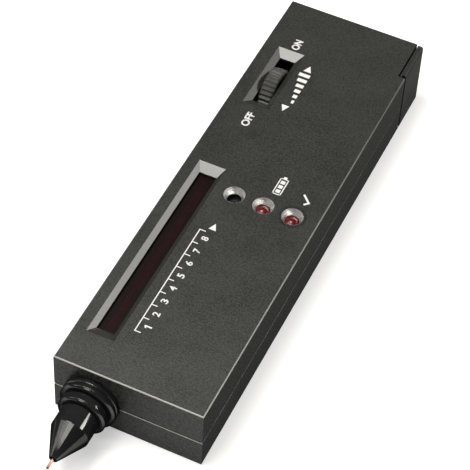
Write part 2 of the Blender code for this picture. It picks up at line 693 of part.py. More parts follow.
def make_upper_shell():
    """Top half of the case, with the window, wheel recess, bosses and bay roof."""
    bm = bmesh.new()
    add_box(bm, (LEFT, FRONT, UPPER_BASE), (RIGHT, REAR, CASE_HEIGHT))
    round_edges(bm, lambda edge: min(corner.co.z for corner in edge.verts) > CEILING, EDGE_ROUND)
    shell = object_from("upper_shell", bm)
    cut(shell, box(
        "upper_cavity",
        (INNER_LEFT, INNER_FRONT, UPPER_BASE - OVERRUN),
        (INNER_RIGHT, INNER_REAR, CEILING),
    ))
    join(shell, box(
        "upper_bay_front",
        (BAY_LEFT - BAY_WALL, BAY_FRONT - BAY_WALL, UPPER_BASE),
        (INNER_RIGHT + SIDE_WALL / 2, BAY_FRONT, CEILING + TOP_WALL / 2),
    ))
    join(shell, box(
        "upper_bay_side",
        (BAY_LEFT - BAY_WALL, BAY_FRONT - BAY_WALL / 2, UPPER_BASE),
        (BAY_LEFT, INNER_REAR + SIDE_WALL / 2, CEILING + TOP_WALL / 2),
    ))
    for number, (x, y) in enumerate(CASE_SCREW_PLACES):
        base = PART_BASE if (x, y) in BOARD_CLAMPS else UPPER_BASE
        join(shell, rods(
            f"upper_boss_{number}", [(x, y)], base, CEILING + TOP_WALL / 2, UPPER_BOSS_RADIUS
        ))
    bezel_places = [(x, BEZEL_Y) for x in BEZEL_XS]
    join(shell, rods(
        "bezel_bosses", bezel_places, BEZEL_BOSS_BASE, CEILING + TOP_WALL / 2,
        BEZEL_BORE_RADIUS + BEZEL_BOSS_WALL,
    ))
    groove_low, groove_high = lip_outline(FIT)
    lip_groove = box(
        "lip_groove",
        (*groove_low, UPPER_BASE - OVERRUN),
        (*groove_high, LOWER_TOP + LIP_HEIGHT + FIT),
    )
    cut(lip_groove, box(
        "lip_groove_core",
        (INNER_LEFT + FIT, INNER_FRONT + FIT, UPPER_BASE - 2 * OVERRUN),
        (INNER_RIGHT - FIT, INNER_REAR - FIT, CEILING),
    ))
    cut(shell, lip_groove)
    cut(shell, box(
        "bay_hollow",
        (BAY_LEFT, BAY_FRONT, -OVERRUN),
        (BAY_RIGHT, REAR + OVERRUN, BAY_CEILING),
    ))
    cut(shell, box(
        "cheek_cut",
        (ROOF_RIGHT, CHEEK_FRONT - FIT, -OVERRUN),
        (RIGHT + OVERRUN, REAR + OVERRUN, CASE_HEIGHT + OVERRUN),
    ))
    cut(shell, box(
        "lead_slot",
        (BATTERY_X - LEAD_SLOT_WIDTH / 2, BAY_FRONT - BAY_WALL - OVERRUN, UPPER_BASE - OVERRUN),
        (BATTERY_X + LEAD_SLOT_WIDTH / 2, BAY_FRONT + OVERRUN, UPPER_BASE + LEAD_SLOT_HEIGHT),
    ))
    cut(shell, recess(
        "window_cut", WINDOW_X, WINDOW_Y, WINDOW_WIDTH, WINDOW_LENGTH,
        WINDOW_SIDE_BEVEL, WINDOW_END_BEVEL,
    ))
    cut(shell, recess(
        "wheel_cut", WHEEL_X, WHEEL_Y, WHEEL_RECESS_WIDTH, WHEEL_RECESS_LENGTH,
        WHEEL_SIDE_BEVEL, WHEEL_END_BEVEL,
    ))
    cut(shell, rods(
        "bezel_bores", bezel_places, BEZEL_SEAT, CASE_HEIGHT + OVERRUN, BEZEL_BORE_RADIUS,
        ROUND_STEPS,
    ))
    cut(shell, rods(
        "lamp_holes", bezel_places, BEZEL_BOSS_BASE - OVERRUN, CASE_HEIGHT,
        BEZEL_BORE_RADIUS - BEZEL_SEAT_WIDTH,
    ))
    cut(shell, nose_hole())
    cut(shell, rods(
        "upper_screw_holes", CASE_SCREW_PLACES, UPPER_BASE - OVERRUN,
        CASE_SCREW_SINK + CASE_SCREW_LENGTH + FIT, CASE_SCREW_RADIUS + FIT,
    ))
    return paint(shell, CASE_BLACK, 0.5)


def make_lower_shell():
    """Bottom half of the case, with the lip, board posts, bosses and bay walls."""
    bm = bmesh.new()
    add_box(bm, (LEFT, FRONT, 0), (RIGHT, REAR, LOWER_TOP))
    half_way = LOWER_TOP / 2
    round_edges(bm, lambda edge: max(corner.co.z for corner in edge.verts) < half_way, EDGE_ROUND)
    shell = object_from("lower_shell", bm)
    lip_low, lip_high = lip_outline(0)
    join(shell, box(
        "lip", (*lip_low, LOWER_TOP / 2), (*lip_high, LOWER_TOP + LIP_HEIGHT)
    ))
    cut(shell, box(
        "lower_cavity",
        (INNER_LEFT, INNER_FRONT, BOTTOM_WALL),
        (INNER_RIGHT, INNER_REAR, LOWER_TOP + LIP_HEIGHT + OVERRUN),
    ))
    join(shell, box(
        "lower_bay_front",
        (BAY_LEFT - BAY_WALL, BAY_FRONT - BAY_WALL, BOTTOM_WALL / 2),
        (INNER_RIGHT + LIP_THICKNESS / 2, BAY_FRONT, LOWER_TOP),
    ))
    join(shell, box(
        "lower_bay_side",
        (BAY_LEFT - BAY_WALL, BAY_FRONT - BAY_WALL / 2, BOTTOM_WALL / 2),
        (BAY_LEFT, INNER_REAR + LIP_THICKNESS / 2, LOWER_TOP),
    ))
    for number, (x, y) in enumerate(CASE_SCREW_PLACES):
        top = BOARD_BASE - FIT if (x, y) in BOARD_CLAMPS else LOWER_TOP
        join(shell, rods(
            f"lower_boss_{number}", [(x, y)], BOTTOM_WALL / 2, top, LOWER_BOSS_RADIUS
        ))
    arm_post = (INNER_LEFT + BOARD_EDGE_GAP + BOARD_ARM_WIDTH / 2, BOARD_ARM_REAR - POST_RADIUS)
    post_places = (*BOARD_SCREW_PLACES, arm_post)
    join(shell, rods("board_posts", post_places, BOTTOM_WALL / 2, BOARD_BASE - FIT, POST_RADIUS))
    cut(shell, box(
        "bay_opening",
        (BAY_LEFT, BAY_FRONT, -OVERRUN),
        (BAY_RIGHT, REAR + OVERRUN, LOWER_TOP + LIP_HEIGHT + OVERRUN),
    ))
    cut(shell, box(
        "cheek_opening",
        (BAY_RIGHT - SIDE_WALL, CHEEK_FRONT - FIT, -OVERRUN),
        (RIGHT + OVERRUN, REAR + OVERRUN, CASE_HEIGHT),
    ))
    cut(shell, box(
        "tongue_grooves",
        (BAY_LEFT - TONGUE_WIDTH - FIT, BAY_FRONT, COVER_PLATE - TONGUE_THICKNESS - FIT),
        (BAY_RIGHT + TONGUE_WIDTH + FIT, REAR + OVERRUN, COVER_PLATE + FIT),
    ))
    cut(shell, nose_hole())
    cut(shell, rods(
        "screw_clearance", CASE_SCREW_PLACES, CASE_SCREW_SINK, LOWER_TOP + OVERRUN,
        CASE_SCREW_RADIUS + FIT,
    ))
    cut(shell, rods(
        "screw_head_wells", CASE_SCREW_PLACES, -OVERRUN, CASE_SCREW_SINK + FIT,
        CASE_SCREW_HEAD_RADIUS + FIT,
    ))
    cut(shell, rods(
        "post_pilots", BOARD_SCREW_PLACES, BOARD_TOP - BOARD_SCREW_LENGTH, LOWER_TOP,
        BOARD_SCREW_RADIUS + FIT,
    ))
    return paint(shell, CASE_BLACK, 0.5)


def make_battery_cover():
    """Sliding cover: the bay's floor and rear wall, and the case's right rear cheek."""
    floor_left = BAY_LEFT + FIT
    floor_right = BAY_RIGHT - FIT
    cover = box(
        "battery_cover",
        (floor_left, BAY_FRONT + FIT, 0),
        (floor_right, REAR - COVER_WALL / 2, COVER_PLATE),
    )
    bm = bmesh.new()
    add_box(bm, (RIGHT - CHEEK_THICKNESS, CHEEK_FRONT, 0), (RIGHT, REAR, CASE_HEIGHT))

    def is_rear_outer_edge(edge):
        return all(
            corner.co.x > RIGHT - CHEEK_THICKNESS / 2 and corner.co.y > REAR - CHEEK_THICKNESS
            for corner in edge.verts
        )

    round_edges(bm, is_rear_outer_edge, EDGE_ROUND)
    join(cover, object_from("cover_cheek", bm))
    join(cover, box(
        "cover_rear_wall",
        (floor_left, REAR - COVER_WALL, 0),
        (RIGHT - CHEEK_THICKNESS / 2, REAR, BAY_CEILING - FIT),
    ))
    join(cover, box(
        "cover_floor_step",
        (floor_right - CHEEK_THICKNESS, CHEEK_FRONT, 0),
        (RIGHT - CHEEK_THICKNESS / 2, REAR - COVER_WALL / 2, COVER_PLATE),
    ))
    tongue_base = COVER_PLATE - TONGUE_THICKNESS
    join(cover, box(
        "cover_tongues",
        (floor_left - TONGUE_WIDTH, BAY_FRONT + FIT, tongue_base),
        (floor_right + TONGUE_WIDTH, CHEEK_FRONT + CHEEK_THICKNESS, COVER_PLATE - FIT / 2),
    ))
    grip_x = (floor_left + floor_right) / 2
    slots = []
    for number in range(GRIP_SLOTS):
        y = REAR - GRIP_FROM_REAR - number * GRIP_PITCH
        slots.append((
            (grip_x - GRIP_LENGTH / 2, y - GRIP_WIDTH / 2, -OVERRUN),
            (grip_x + GRIP_LENGTH / 2, y + GRIP_WIDTH / 2, GRIP_DEPTH),
        ))
    cut(cover, boxes("grip_slots", slots))
    return paint(cover, CASE_BLACK, 0.5)


def make_display():
    """Red filter under the window, and the row of rectangular lights behind it."""
    half_width = WINDOW_WIDTH / 2 - WINDOW_SIDE_BEVEL + FILTER_OVERLAP
    half_length = WINDOW_LENGTH / 2 - WINDOW_END_BEVEL + FILTER_OVERLAP
    red_filter = box(
        "display_filter",
        (WINDOW_X - half_width, WINDOW_Y - half_length, FILTER_TOP - FILTER_THICKNESS),
        (WINDOW_X + half_width, WINDOW_Y + half_length, FILTER_TOP),
    )
    paint(red_filter, FILTER_RED, 0.1)
    half = Vector((LIGHT_WIDTH, LIGHT_PITCH - FIT, LIGHT_TOP - PART_BASE)) / 2
    light = finished_mesh(box("light", -half, half))
    places = []
    for number in range(LIGHT_COUNT):
        y = WINDOW_FRONT + FIRST_LIGHT_BEHIND_WINDOW_FRONT + number * LIGHT_PITCH
        places.append(Matrix.Translation((WINDOW_X, y, PART_BASE + half.z)))
    paint(copies("display_light", light, places), LIGHT_RED, 0.4)


def make_bezels():
    """Three conical silver bezels: the sound hole's and the two lamps'."""
    profile = [
        (BEZEL_RADIUS, BEZEL_DEPTH),
        (BEZEL_RADIUS, 0),
        (BEZEL_HOLE_RADIUS, 0),
        (BEZEL_RADIUS - BEZEL_LIP, BEZEL_DEPTH),
        (BEZEL_RADIUS, BEZEL_DEPTH),
    ]
    names = ("sound_bezel", "battery_lamp_bezel", "ready_lamp_bezel")
    for name, x in zip(names, BEZEL_XS):
        place = Matrix.Translation((x, BEZEL_Y, BEZEL_BASE))
        paint(turned(name, profile, place), SILVER, 0.25, 1.0)


def make_lamps():
    """Two round lamps whose domes stand in their bezels, on the board by two legs each."""
    base = LAMP_DOME_MIDDLE - LAMP_BODY_HEIGHT
    rim_top = -LAMP_BODY_HEIGHT + LAMP_RIM_HEIGHT
    profile = dome(LAMP_RADIUS, LAMP_RADIUS) + [
        (LAMP_RADIUS, rim_top),
        (LAMP_RADIUS + LAMP_RIM, rim_top),
        (LAMP_RADIUS + LAMP_RIM, -LAMP_BODY_HEIGHT),
        (0, -LAMP_BODY_HEIGHT),
    ]
    for name, x in zip(("battery_lamp", "ready_lamp"), BEZEL_XS[1:]):
        place = Matrix.Translation((x, BEZEL_Y, LAMP_DOME_MIDDLE))
        lamp = turned(name, profile, place, FINE_STEPS)
        legs = []
        for side in (-1, 1):
            middle = BEZEL_Y + side * LAMP_LEG_SPACING / 2
            legs.append((
                (x - LAMP_LEG_WIDTH / 2, middle - LAMP_LEG_WIDTH / 2, PART_BASE),
                (x + LAMP_LEG_WIDTH / 2, middle + LAMP_LEG_WIDTH / 2, base + LAMP_RIM_HEIGHT / 2),
            ))
        join(lamp, boxes(f"{name}_legs", legs))
        paint(lamp, LIGHT_RED, 0.2)


def make_thumbwheel():
    """Ribbed volume wheel on its spindle, held by a screw in the wheel's right face."""
    outline = []
    for rib in range(WHEEL_RIBS):
        for turn_share, rise_share in RIB_CORNER_SHARES:
            angle = 2 * math.pi * (rib + turn_share) / WHEEL_RIBS
            radius = WHEEL_RADIUS - WHEEL_RIB_DEPTH * (1 - rise_share)
            outline.append((radius * math.cos(angle), radius * math.sin(angle)))
    wheel = plate("thumbwheel", outline, -WHEEL_WIDTH / 2, WHEEL_WIDTH, WHEEL_CHAMFER)
    centre = Matrix.Translation((WHEEL_X, WHEEL_Y, WHEEL_Z))
    wheel.matrix_world = centre @ X_WAYS @ wheel.matrix_world
    cut(wheel, rod(
        "wheel_bore", (WHEEL_LEFT - OVERRUN, WHEEL_Y, WHEEL_Z), (1, 0, 0), WHEEL_WIDTH + 2 * OVERRUN,
        SPINDLE_RADIUS + FIT,
    ))
    cut(wheel, rod(
        "screw_pocket", (SCREW_SEAT, WHEEL_Y, WHEEL_Z), (1, 0, 0), SCREW_POCKET_DEPTH + OVERRUN,
        SCREW_POCKET_RADIUS,
    ))
    paint(wheel, CASE_BLACK, 0.45)

    axle = Matrix.Translation((0, WHEEL_Y, WHEEL_Z)) @ X_WAYS
    spindle_left = CONTROL_RIGHT - SPINDLE_IN_CONTROL
    spindle_right = SCREW_SEAT - FIT
    screw_left = SCREW_SEAT + FIT - WHEEL_SCREW_LENGTH
    bore = WHEEL_SCREW_RADIUS + FIT
    spindle = turned("wheel_spindle", [
        (SPINDLE_RADIUS, spindle_right),
        (SPINDLE_RADIUS, spindle_left),
        (0, spindle_left),
        (0, screw_left - FIT),
        (bore, screw_left - FIT),
        (bore, spindle_right),
        (SPINDLE_RADIUS, spindle_right),
    ], axle, FINE_STEPS)
    paint(spindle, STEEL, 0.3, 1.0)
    head_base = SCREW_SEAT + FIT
    screw = turned("wheel_screw", [
        (0, head_base + WHEEL_SCREW_HEAD),
        (WHEEL_SCREW_HEAD_RADIUS, head_base + WHEEL_SCREW_HEAD),
        (WHEEL_SCREW_HEAD_RADIUS, head_base),
        (WHEEL_SCREW_RADIUS, head_base),
        (WHEEL_SCREW_RADIUS, screw_left),
        (0, screw_left),
    ], axle, FINE_STEPS)
    paint(screw, STEEL, 0.3, 1.0)


def make_volume_control():
    """Switched potentiometer beside the wheel, on the board's arm by its tags."""
    base = PART_BASE + CONTROL_LIFT
    half = CONTROL_RADIUS - FIT
    control = box(
        "volume_control",
        (CONTROL_LEFT, WHEEL_Y - half, base),
        (CONTROL_RIGHT, WHEEL_Y + half, WHEEL_Z),
    )
    join(control, rod(
        "control_crown", (CONTROL_LEFT, WHEEL_Y, WHEEL_Z), (1, 0, 0), CONTROL_THICKNESS,
        CONTROL_RADIUS, ROUND_STEPS,
    ))
    cut(control, box(
        "control_foot",
        (CONTROL_LEFT - OVERRUN, WHEEL_Y - CONTROL_RADIUS, WHEEL_Z - CONTROL_RADIUS - OVERRUN),
        (CONTROL_RIGHT + OVERRUN, WHEEL_Y + CONTROL_RADIUS, base),
    ))
    tag_x = (CONTROL_LEFT + CONTROL_RIGHT) / 2
    tags = []
    for number in range(TAG_COUNT):
        y = WHEEL_Y + (number - (TAG_COUNT - 1) / 2) * TAG_PITCH
        tags.append((
            (tag_x - TAG_THICKNESS / 2, y - TAG_WIDTH / 2, PART_BASE),
            (tag_x + TAG_THICKNESS / 2, y + TAG_WIDTH / 2, base + CONTROL_LIFT),
        ))
    join(control, boxes("control_tags", tags))
    bore_start = (CONTROL_RIGHT - SPINDLE_IN_CONTROL - FIT, WHEEL_Y, WHEEL_Z)
    cut(control, rod(
        "control_bore", bore_start, (1, 0, 0), SPINDLE_IN_CONTROL + OVERRUN, SPINDLE_RADIUS + FIT
    ))
    paint(control, STEEL, 0.4, 1.0)


def make_board():
    """Circuit board with an arm beside the wheel, clamped and screwed to the case."""
    left = INNER_LEFT + BOARD_EDGE_GAP
    right = INNER_RIGHT - BOARD_EDGE_GAP
    arm_right = left + BOARD_ARM_WIDTH
    outline = [
        (left, BOARD_FRONT),
        (right, BOARD_FRONT),
        (right, BOARD_REAR),
        (arm_right, BOARD_REAR),
        (arm_right, BOARD_ARM_REAR),
        (left, BOARD_ARM_REAR),
    ]
    board = plate("circuit_board", outline, BOARD_BASE, BOARD_THICKNESS)
    low = BOARD_BASE - OVERRUN
    high = BOARD_TOP + OVERRUN
    cut(board, rods("clamp_holes", BOARD_CLAMPS, low, high, CASE_SCREW_RADIUS + FIT))
    cut(board, rods("screw_holes", BOARD_SCREW_PLACES, low, high, BOARD_SCREW_RADIUS + FIT))
    paint(board, BOARD_GREEN, 0.35)


def chip_mesh(legs):
    """Return a chip with a row of legs down each long side, standing at the origin."""
    half_length = legs * CHIP_LEG_PITCH / 2
    half_width = CHIP_WIDTH / 2
    chip = box(
        "chip",
        (-half_width, -half_length, CHIP_LIFT),
        (half_width, half_length, CHIP_LIFT + CHIP_HEIGHT),
    )
    corners = []
    for leg in range(legs):
        y = (leg - (legs - 1) / 2) * CHIP_LEG_PITCH
        for middle in (-half_width, half_width):
            corners.append((
                (middle - CHIP_LEG_THICKNESS, y - CHIP_LEG_WIDTH / 2, 0),
                (middle + CHIP_LEG_THICKNESS, y + CHIP_LEG_WIDTH / 2, CHIP_LIFT + CHIP_HEIGHT / 2),
            ))
    join(chip, boxes("chip_legs", corners))
    return finished_mesh(chip)


def make_chips():
    """Two light driver chips and one smaller amplifier chip."""
    places = []
    for number in range(DRIVER_COUNT):
        x = DRIVER_X + number * DRIVER_SPACING
        places.append(Matrix.Translation((x, DRIVER_Y, PART_BASE)))
    paint(copies("driver_chip", chip_mesh(DRIVER_LEGS), places), NOSE_BLACK, 0.4)
    amplifier = bpy.data.objects.new("amplifier_chip", chip_mesh(AMPLIFIER_LEGS))
    PARTS.objects.link(amplifier)
    amplifier.location = (DRIVER_X, AMPLIFIER_Y, PART_BASE)
    paint(amplifier, NOSE_BLACK, 0.4)


def make_capacitors():
    """Standing round capacitors in a row along the right side."""
    height = CEILING - CAPACITOR_BELOW_CEILING - PART_BASE
    can = turned("can", [
        (0, height),
        (CAPACITOR_RADIUS, height),
        (CAPACITOR_RADIUS, 0),
        (0, 0),
    ], Matrix.Identity(4), FINE_STEPS)
    places = []
    for number in range(CAPACITOR_COUNT):
        y = DRIVER_Y + number * CAPACITOR_PITCH
        places.append(Matrix.Translation((CAPACITOR_X, y, PART_BASE)))
    paint(copies("capacitor", finished_mesh(can), places), PLAIN_BLUE, 0.35)


def make_trimmers():
    """Square trimmers with a slotted rotor on top."""
    half = TRIMMER_SIZE / 2
    trimmer = box("trimmer", (-half, -half, 0), (half, half, TRIMMER_HEIGHT))
    rotor_top = TRIMMER_HEIGHT + TRIMMER_ROTOR_HEIGHT
    join(trimmer, rods("rotor", [(0, 0)], TRIMMER_HEIGHT / 2, rotor_top, TRIMMER_ROTOR_RADIUS))
    cut(trimmer, box(
        "rotor_slot",
        (-CROSS_WIDTH / 2, -TRIMMER_ROTOR_RADIUS - FIT, TRIMMER_HEIGHT + FIT),
        (CROSS_WIDTH / 2, TRIMMER_ROTOR_RADIUS + FIT, rotor_top + OVERRUN),
    ))
    places = []
    for number in range(TRIMMER_COUNT):
        y = FIRST_TRIMMER_Y + number * (TRIMMER_SIZE + TRIMMER_SPACING)
        places.append(Matrix.Translation((LAST_DRIVER_X, y, PART_BASE)))
    paint(copies("trimmer", finished_mesh(trimmer), places), PLAIN_BLUE, 0.4)


def make_resistors():
    """Lying resistors in columns, each on two bent wires."""
    half_body = RESISTOR_LENGTH / 2
    half_span = RESISTOR_SPAN / 2
    end = half_body / 2
    body = turned("resistor", [
        (0, half_body),
        (RESISTOR_RADIUS, half_body),
        (RESISTOR_RADIUS, end),
        (RESISTOR_RADIUS - RESISTOR_WAIST, end - RESISTOR_WAIST),
        (RESISTOR_RADIUS - RESISTOR_WAIST, RESISTOR_WAIST - end),
        (RESISTOR_RADIUS, -end),
        (RESISTOR_RADIUS, -half_body),
        (0, -half_body),
    ], Matrix.Translation((0, 0, RESISTOR_RADIUS)) @ X_WAYS, FINE_STEPS // 2)
    for side in (-1, 1):
        route = [
            (side * (half_body - RESISTOR_RADIUS), 0, RESISTOR_RADIUS),
            (side * half_span, 0, RESISTOR_RADIUS),
            (side * half_span, 0, 0),
        ]
        join(body, solid_from(wire(f"resistor_wire_{side}", [route], RESISTOR_WIRE_RADIUS, 1)))
    lying = body.matrix_world.copy()
    mesh = finished_mesh(body)
    mesh.transform(lying)
    places = []
    for column in range(RESISTOR_COLUMNS):
        x = DRIVER_X + column * RESISTOR_COLUMN_PITCH
        for number in range(RESISTOR_COUNT):
            y = FIRST_RESISTOR_Y + number * RESISTOR_PITCH
            places.append(Matrix.Translation((x, y, PART_BASE)))
    paint(copies("resistor", mesh, places), BEIGE, 0.45)


def make_buzzer():
    """Round sounder that stands under the sound hole."""
    centre = (BEZEL_XS[0], BEZEL_Y)
    buzzer = rods("buzzer", [centre], PART_BASE, BUZZER_TOP, BUZZER_RADIUS, ROUND_STEPS)
    cut(buzzer, rods(
        "buzzer_hole", [centre], BUZZER_TOP - BUZZER_HOLE_DEPTH, BUZZER_TOP + OVERRUN,
        BUZZER_HOLE_RADIUS,
    ))
    paint(buzzer, NOSE_BLACK, 0.5)


def make_battery():
    """Nine volt block battery, its snap connector and the two leads to the board."""
    half_width = BATTERY_WIDTH / 2
    bm = bmesh.new()
    add_box(
        bm,
        (BATTERY_X - half_width, BATTERY_FRONT, BATTERY_BASE),
        (BATTERY_X + half_width, BATTERY_REAR, BATTERY_BASE + BATTERY_HEIGHT),
    )

    def runs_along(edge):
        first, second = edge.verts
        return abs(first.co.y - second.co.y) > BATTERY_LENGTH / 2

    round_edges(bm, runs_along, BATTERY_ROUND)
    battery = object_from("battery", bm)
    stud_xs = (BATTERY_X - STUD_SPACING / 2, BATTERY_X + STUD_SPACING / 2)
    studs = bmesh.new()
    sockets = bmesh.new()
    for x in stud_xs:
        start = (x, BATTERY_FRONT + BATTERY_ROUND, BATTERY_MIDDLE)
        add_rod(studs, start, (0, -1, 0), STUD_HEIGHT + BATTERY_ROUND, STUD_RADIUS)
        add_rod(sockets, start, (0, -1, 0), STUD_HEIGHT + BATTERY_ROUND + FIT, STUD_RADIUS + FIT)
    join(battery, object_from("battery_studs", studs))
    paint(battery, STEEL, 0.35, 0.6)

    bm = bmesh.new()
    add_box(
        bm,
        (BATTERY_X - half_width, CONNECTOR_FRONT, BATTERY_MIDDLE - CONNECTOR_HEIGHT / 2),
        (BATTERY_X + half_width, CONNECTOR_REAR, BATTERY_MIDDLE + CONNECTOR_HEIGHT / 2),
    )
    round_edges(
        bm, lambda edge: abs(edge.verts[0].co.y - edge.verts[1].co.y) > CONNECTOR_THICKNESS / 2,
        CONNECTOR_ROUND,
    )
    connector = object_from("snap_connector", bm)
    cut(connector, object_from("snap_sockets", sockets))
    paint(connector, NOSE_BLACK, 0.5)

    colours = {"red": LIGHT_RED, "black": NOSE_BLACK}
    board_height = BOARD_TOP + FIT + BATTERY_LEAD_RADIUS
    lead_height = board_height + BATTERY_LEAD_RISE
    for side, name in ((-1, "red"), (1, "black")):
        x = BATTERY_X + side * BATTERY_LEAD_SPACING / 2
        start_y = CONNECTOR_FRONT - FIT
        bend_start, bend_end = [start_y - BATTERY_LEAD_RUN * share for share in BATTERY_LEAD_BEND_SHARES]
        route = smooth_route([
            Vector((x, start_y, lead_height)),
            Vector((x, bend_start, lead_height)),
            Vector((x, bend_end, board_height)),
            Vector((x, start_y - BATTERY_LEAD_RUN, board_height)),
        ])
        paint(wire(f"battery_lead_{name}", [route], BATTERY_LEAD_RADIUS), colours[name], 0.45)


def make_nose_body():
    """Flange clamped in the front wall, the collar and the hollow cone in front of it."""
    stub_clearance = CONE_STUB_RADIUS + FIT
    inner = -SIDE_WALL - FIT
    groove = FLANGE_LENGTH / 2
    flange = turned("nose_flange", [
        (FLANGE_RADIUS - FLANGE_STEP, FLANGE_LENGTH),
        (FLANGE_RADIUS, FLANGE_LENGTH - FLANGE_STEP),
        (FLANGE_RADIUS, groove + FLANGE_GROOVE / 2),
        (FLANGE_RADIUS - FLANGE_GROOVE, groove),
        (FLANGE_RADIUS, groove - FLANGE_GROOVE / 2),
        (FLANGE_RADIUS, FIT),
        (NECK_RADIUS, FIT),
        (NECK_RADIUS, inner),
        (INNER_FLANGE_RADIUS, inner),
        (INNER_FLANGE_RADIUS, inner - INNER_FLANGE_LENGTH),
        (stub_clearance, inner - INNER_FLANGE_LENGTH),
        (stub_clearance, FLANGE_LENGTH),
        (FLANGE_RADIUS - FLANGE_STEP, FLANGE_LENGTH),
    ], nose_place())
    paint(flange, NOSE_BLACK, 0.2)
    collar = turned("nose_collar", [
        (COLLAR_RADIUS - COLLAR_CHAMFER, COLLAR_END),
        (COLLAR_RADIUS, COLLAR_END - COLLAR_CHAMFER),
        (COLLAR_RADIUS, COLLAR_START + COLLAR_CHAMFER),
        (COLLAR_RADIUS - COLLAR_CHAMFER, COLLAR_START),
        (stub_clearance, COLLAR_START),
        (stub_clearance, COLLAR_END),
        (COLLAR_RADIUS - COLLAR_CHAMFER, COLLAR_END),
    ], nose_place())
    paint(collar, NOSE_BLACK, 0.2)
    pin_bore = PIN_RADIUS + FIT
    shank_bore = PIN_SHANK_RADIUS + FIT
    carrier_bore = CARRIER_RADIUS + FIT
    bore_step = CARRIER_FRONT + FIT
    cone = turned("nose_cone", [
        (CONE_TIP_RADIUS, CONE_END),
        (CONE_SLEEVE_RADIUS, CONE_START),
        (CONE_SLEEVE_RADIUS, SLEEVE_START),
        (CONE_STUB_RADIUS, SLEEVE_START),
        (CONE_STUB_RADIUS, -CONE_STUB_REACH),
        (STUB_BORE_RADIUS, -CONE_STUB_REACH),
        (STUB_BORE_RADIUS, TUBE_FRONT + FIT),
        (carrier_bore, TUBE_FRONT + FIT),
        (carrier_bore, bore_step),
        (shank_bore, bore_step),
        (shank_bore, PIN_SHOULDER + FIT),
        (pin_bore, PIN_SHOULDER + FIT),
        (pin_bore, CONE_END),
        (CONE_TIP_RADIUS, CONE_END),
    ], nose_place())
    paint(cone, NOSE_BLACK, 0.12)


def make_probe():
    """Copper pin in its carrier, the return spring, the guide tube and the leads."""
    pin = turned("probe_pin", dome(PIN_RADIUS, PIN_TIP) + [
        (PIN_RADIUS, PIN_SHOULDER),
        (PIN_SHANK_RADIUS, PIN_SHOULDER),
        (PIN_SHANK_RADIUS, PIN_REAR),
        (0, PIN_REAR),
    ], nose_place(), FINE_STEPS)
    paint(pin, COPPER, 0.3, 1.0)
    socket = PIN_SHANK_RADIUS + FIT
    carrier = turned("pin_carrier", [
        (CARRIER_RADIUS, CARRIER_FRONT),
        (CARRIER_RADIUS, CARRIER_REAR),
        (SPIGOT_RADIUS, CARRIER_REAR),
        (SPIGOT_RADIUS, CARRIER_REAR - SPIGOT_LENGTH),
        (0, CARRIER_REAR - SPIGOT_LENGTH),
        (0, PIN_REAR - FIT),
        (socket, PIN_REAR - FIT),
        (socket, CARRIER_FRONT),
        (CARRIER_RADIUS, CARRIER_FRONT),
    ], nose_place(), FINE_STEPS)
    paint(carrier, BEIGE, 0.5)
    bore = TUBE_RADIUS - TUBE_WALL
    tube = turned("probe_tube", [
        (TUBE_RADIUS, TUBE_FRONT),
        (TUBE_RADIUS, -TUBE_REACH),
        (LEAD_HOLE_RADIUS, -TUBE_REACH),
        (LEAD_HOLE_RADIUS, -TUBE_REACH + TUBE_END),
        (bore, -TUBE_REACH + TUBE_END),
        (bore, TUBE_FRONT),
        (TUBE_RADIUS, TUBE_FRONT),
    ], nose_place())
    paint(tube, BRASS, 0.3, 1.0)

    turns = []
    steps = SPRING_TURNS * SPRING_TURN_STEPS
    start = SPRING_FRONT - SPRING_WIRE_RADIUS
    run = start - SPRING_REAR - SPRING_WIRE_RADIUS
    for step in range(steps + 1):
        angle = 2 * math.pi * step / SPRING_TURN_STEPS
        turns.append((
            NOSE_X + SPRING_RADIUS * math.cos(angle),
            FRONT - start + run * step / steps,
            NOSE_Z + SPRING_RADIUS * math.sin(angle),
        ))
    paint(wire("return_spring", [turns], SPRING_WIRE_RADIUS, 1), STEEL, 0.3, 1.0)

    tube_end = FRONT + TUBE_REACH
    landing = BOARD_TOP + FIT + LEAD_RADIUS
    for number, side in enumerate((-1, 1), 1):
        x = NOSE_X + side * LEAD_SPACING / 2
        route = smooth_route([
            Vector((x, tube_end - TUBE_END, NOSE_Z)),
            Vector((x, tube_end, NOSE_Z)),
            Vector((x, (tube_end + BOARD_FRONT) / 2, (NOSE_Z + landing) / 2)),
            Vector((x, BOARD_FRONT, landing)),
            Vector((x, BOARD_FRONT + OVERRUN, landing)),
        ])
        paint(wire(f"probe_lead_{number}", [route], LEAD_RADIUS, 1), LIGHT_RED, 0.5)


def screw_mesh(head_radius, head_height, radius, length):
    """Return a cross-head screw, head up, with the head's underside at the origin."""
    screw = turned("screw", [
        (0, head_height),
        (head_radius, head_height),
        (head_radius, 0),
        (radius, 0),
        (radius, -length),
        (0, -length),
    ], Matrix.Identity(4), FINE_STEPS)
    reach = head_radius * CROSS_SHARE
    depth = head_height * CROSS_DEPTH_SHARE
    arms = (("long", reach, CROSS_WIDTH / 2), ("wide", CROSS_WIDTH / 2, reach))
    for name, half_x, half_y in arms:
        cut(screw, box(
            f"cross_{name}",
            (-half_x, -half_y, head_height - depth),
            (half_x, half_y, head_height + OVERRUN),
        ))
    return finished_mesh(screw)


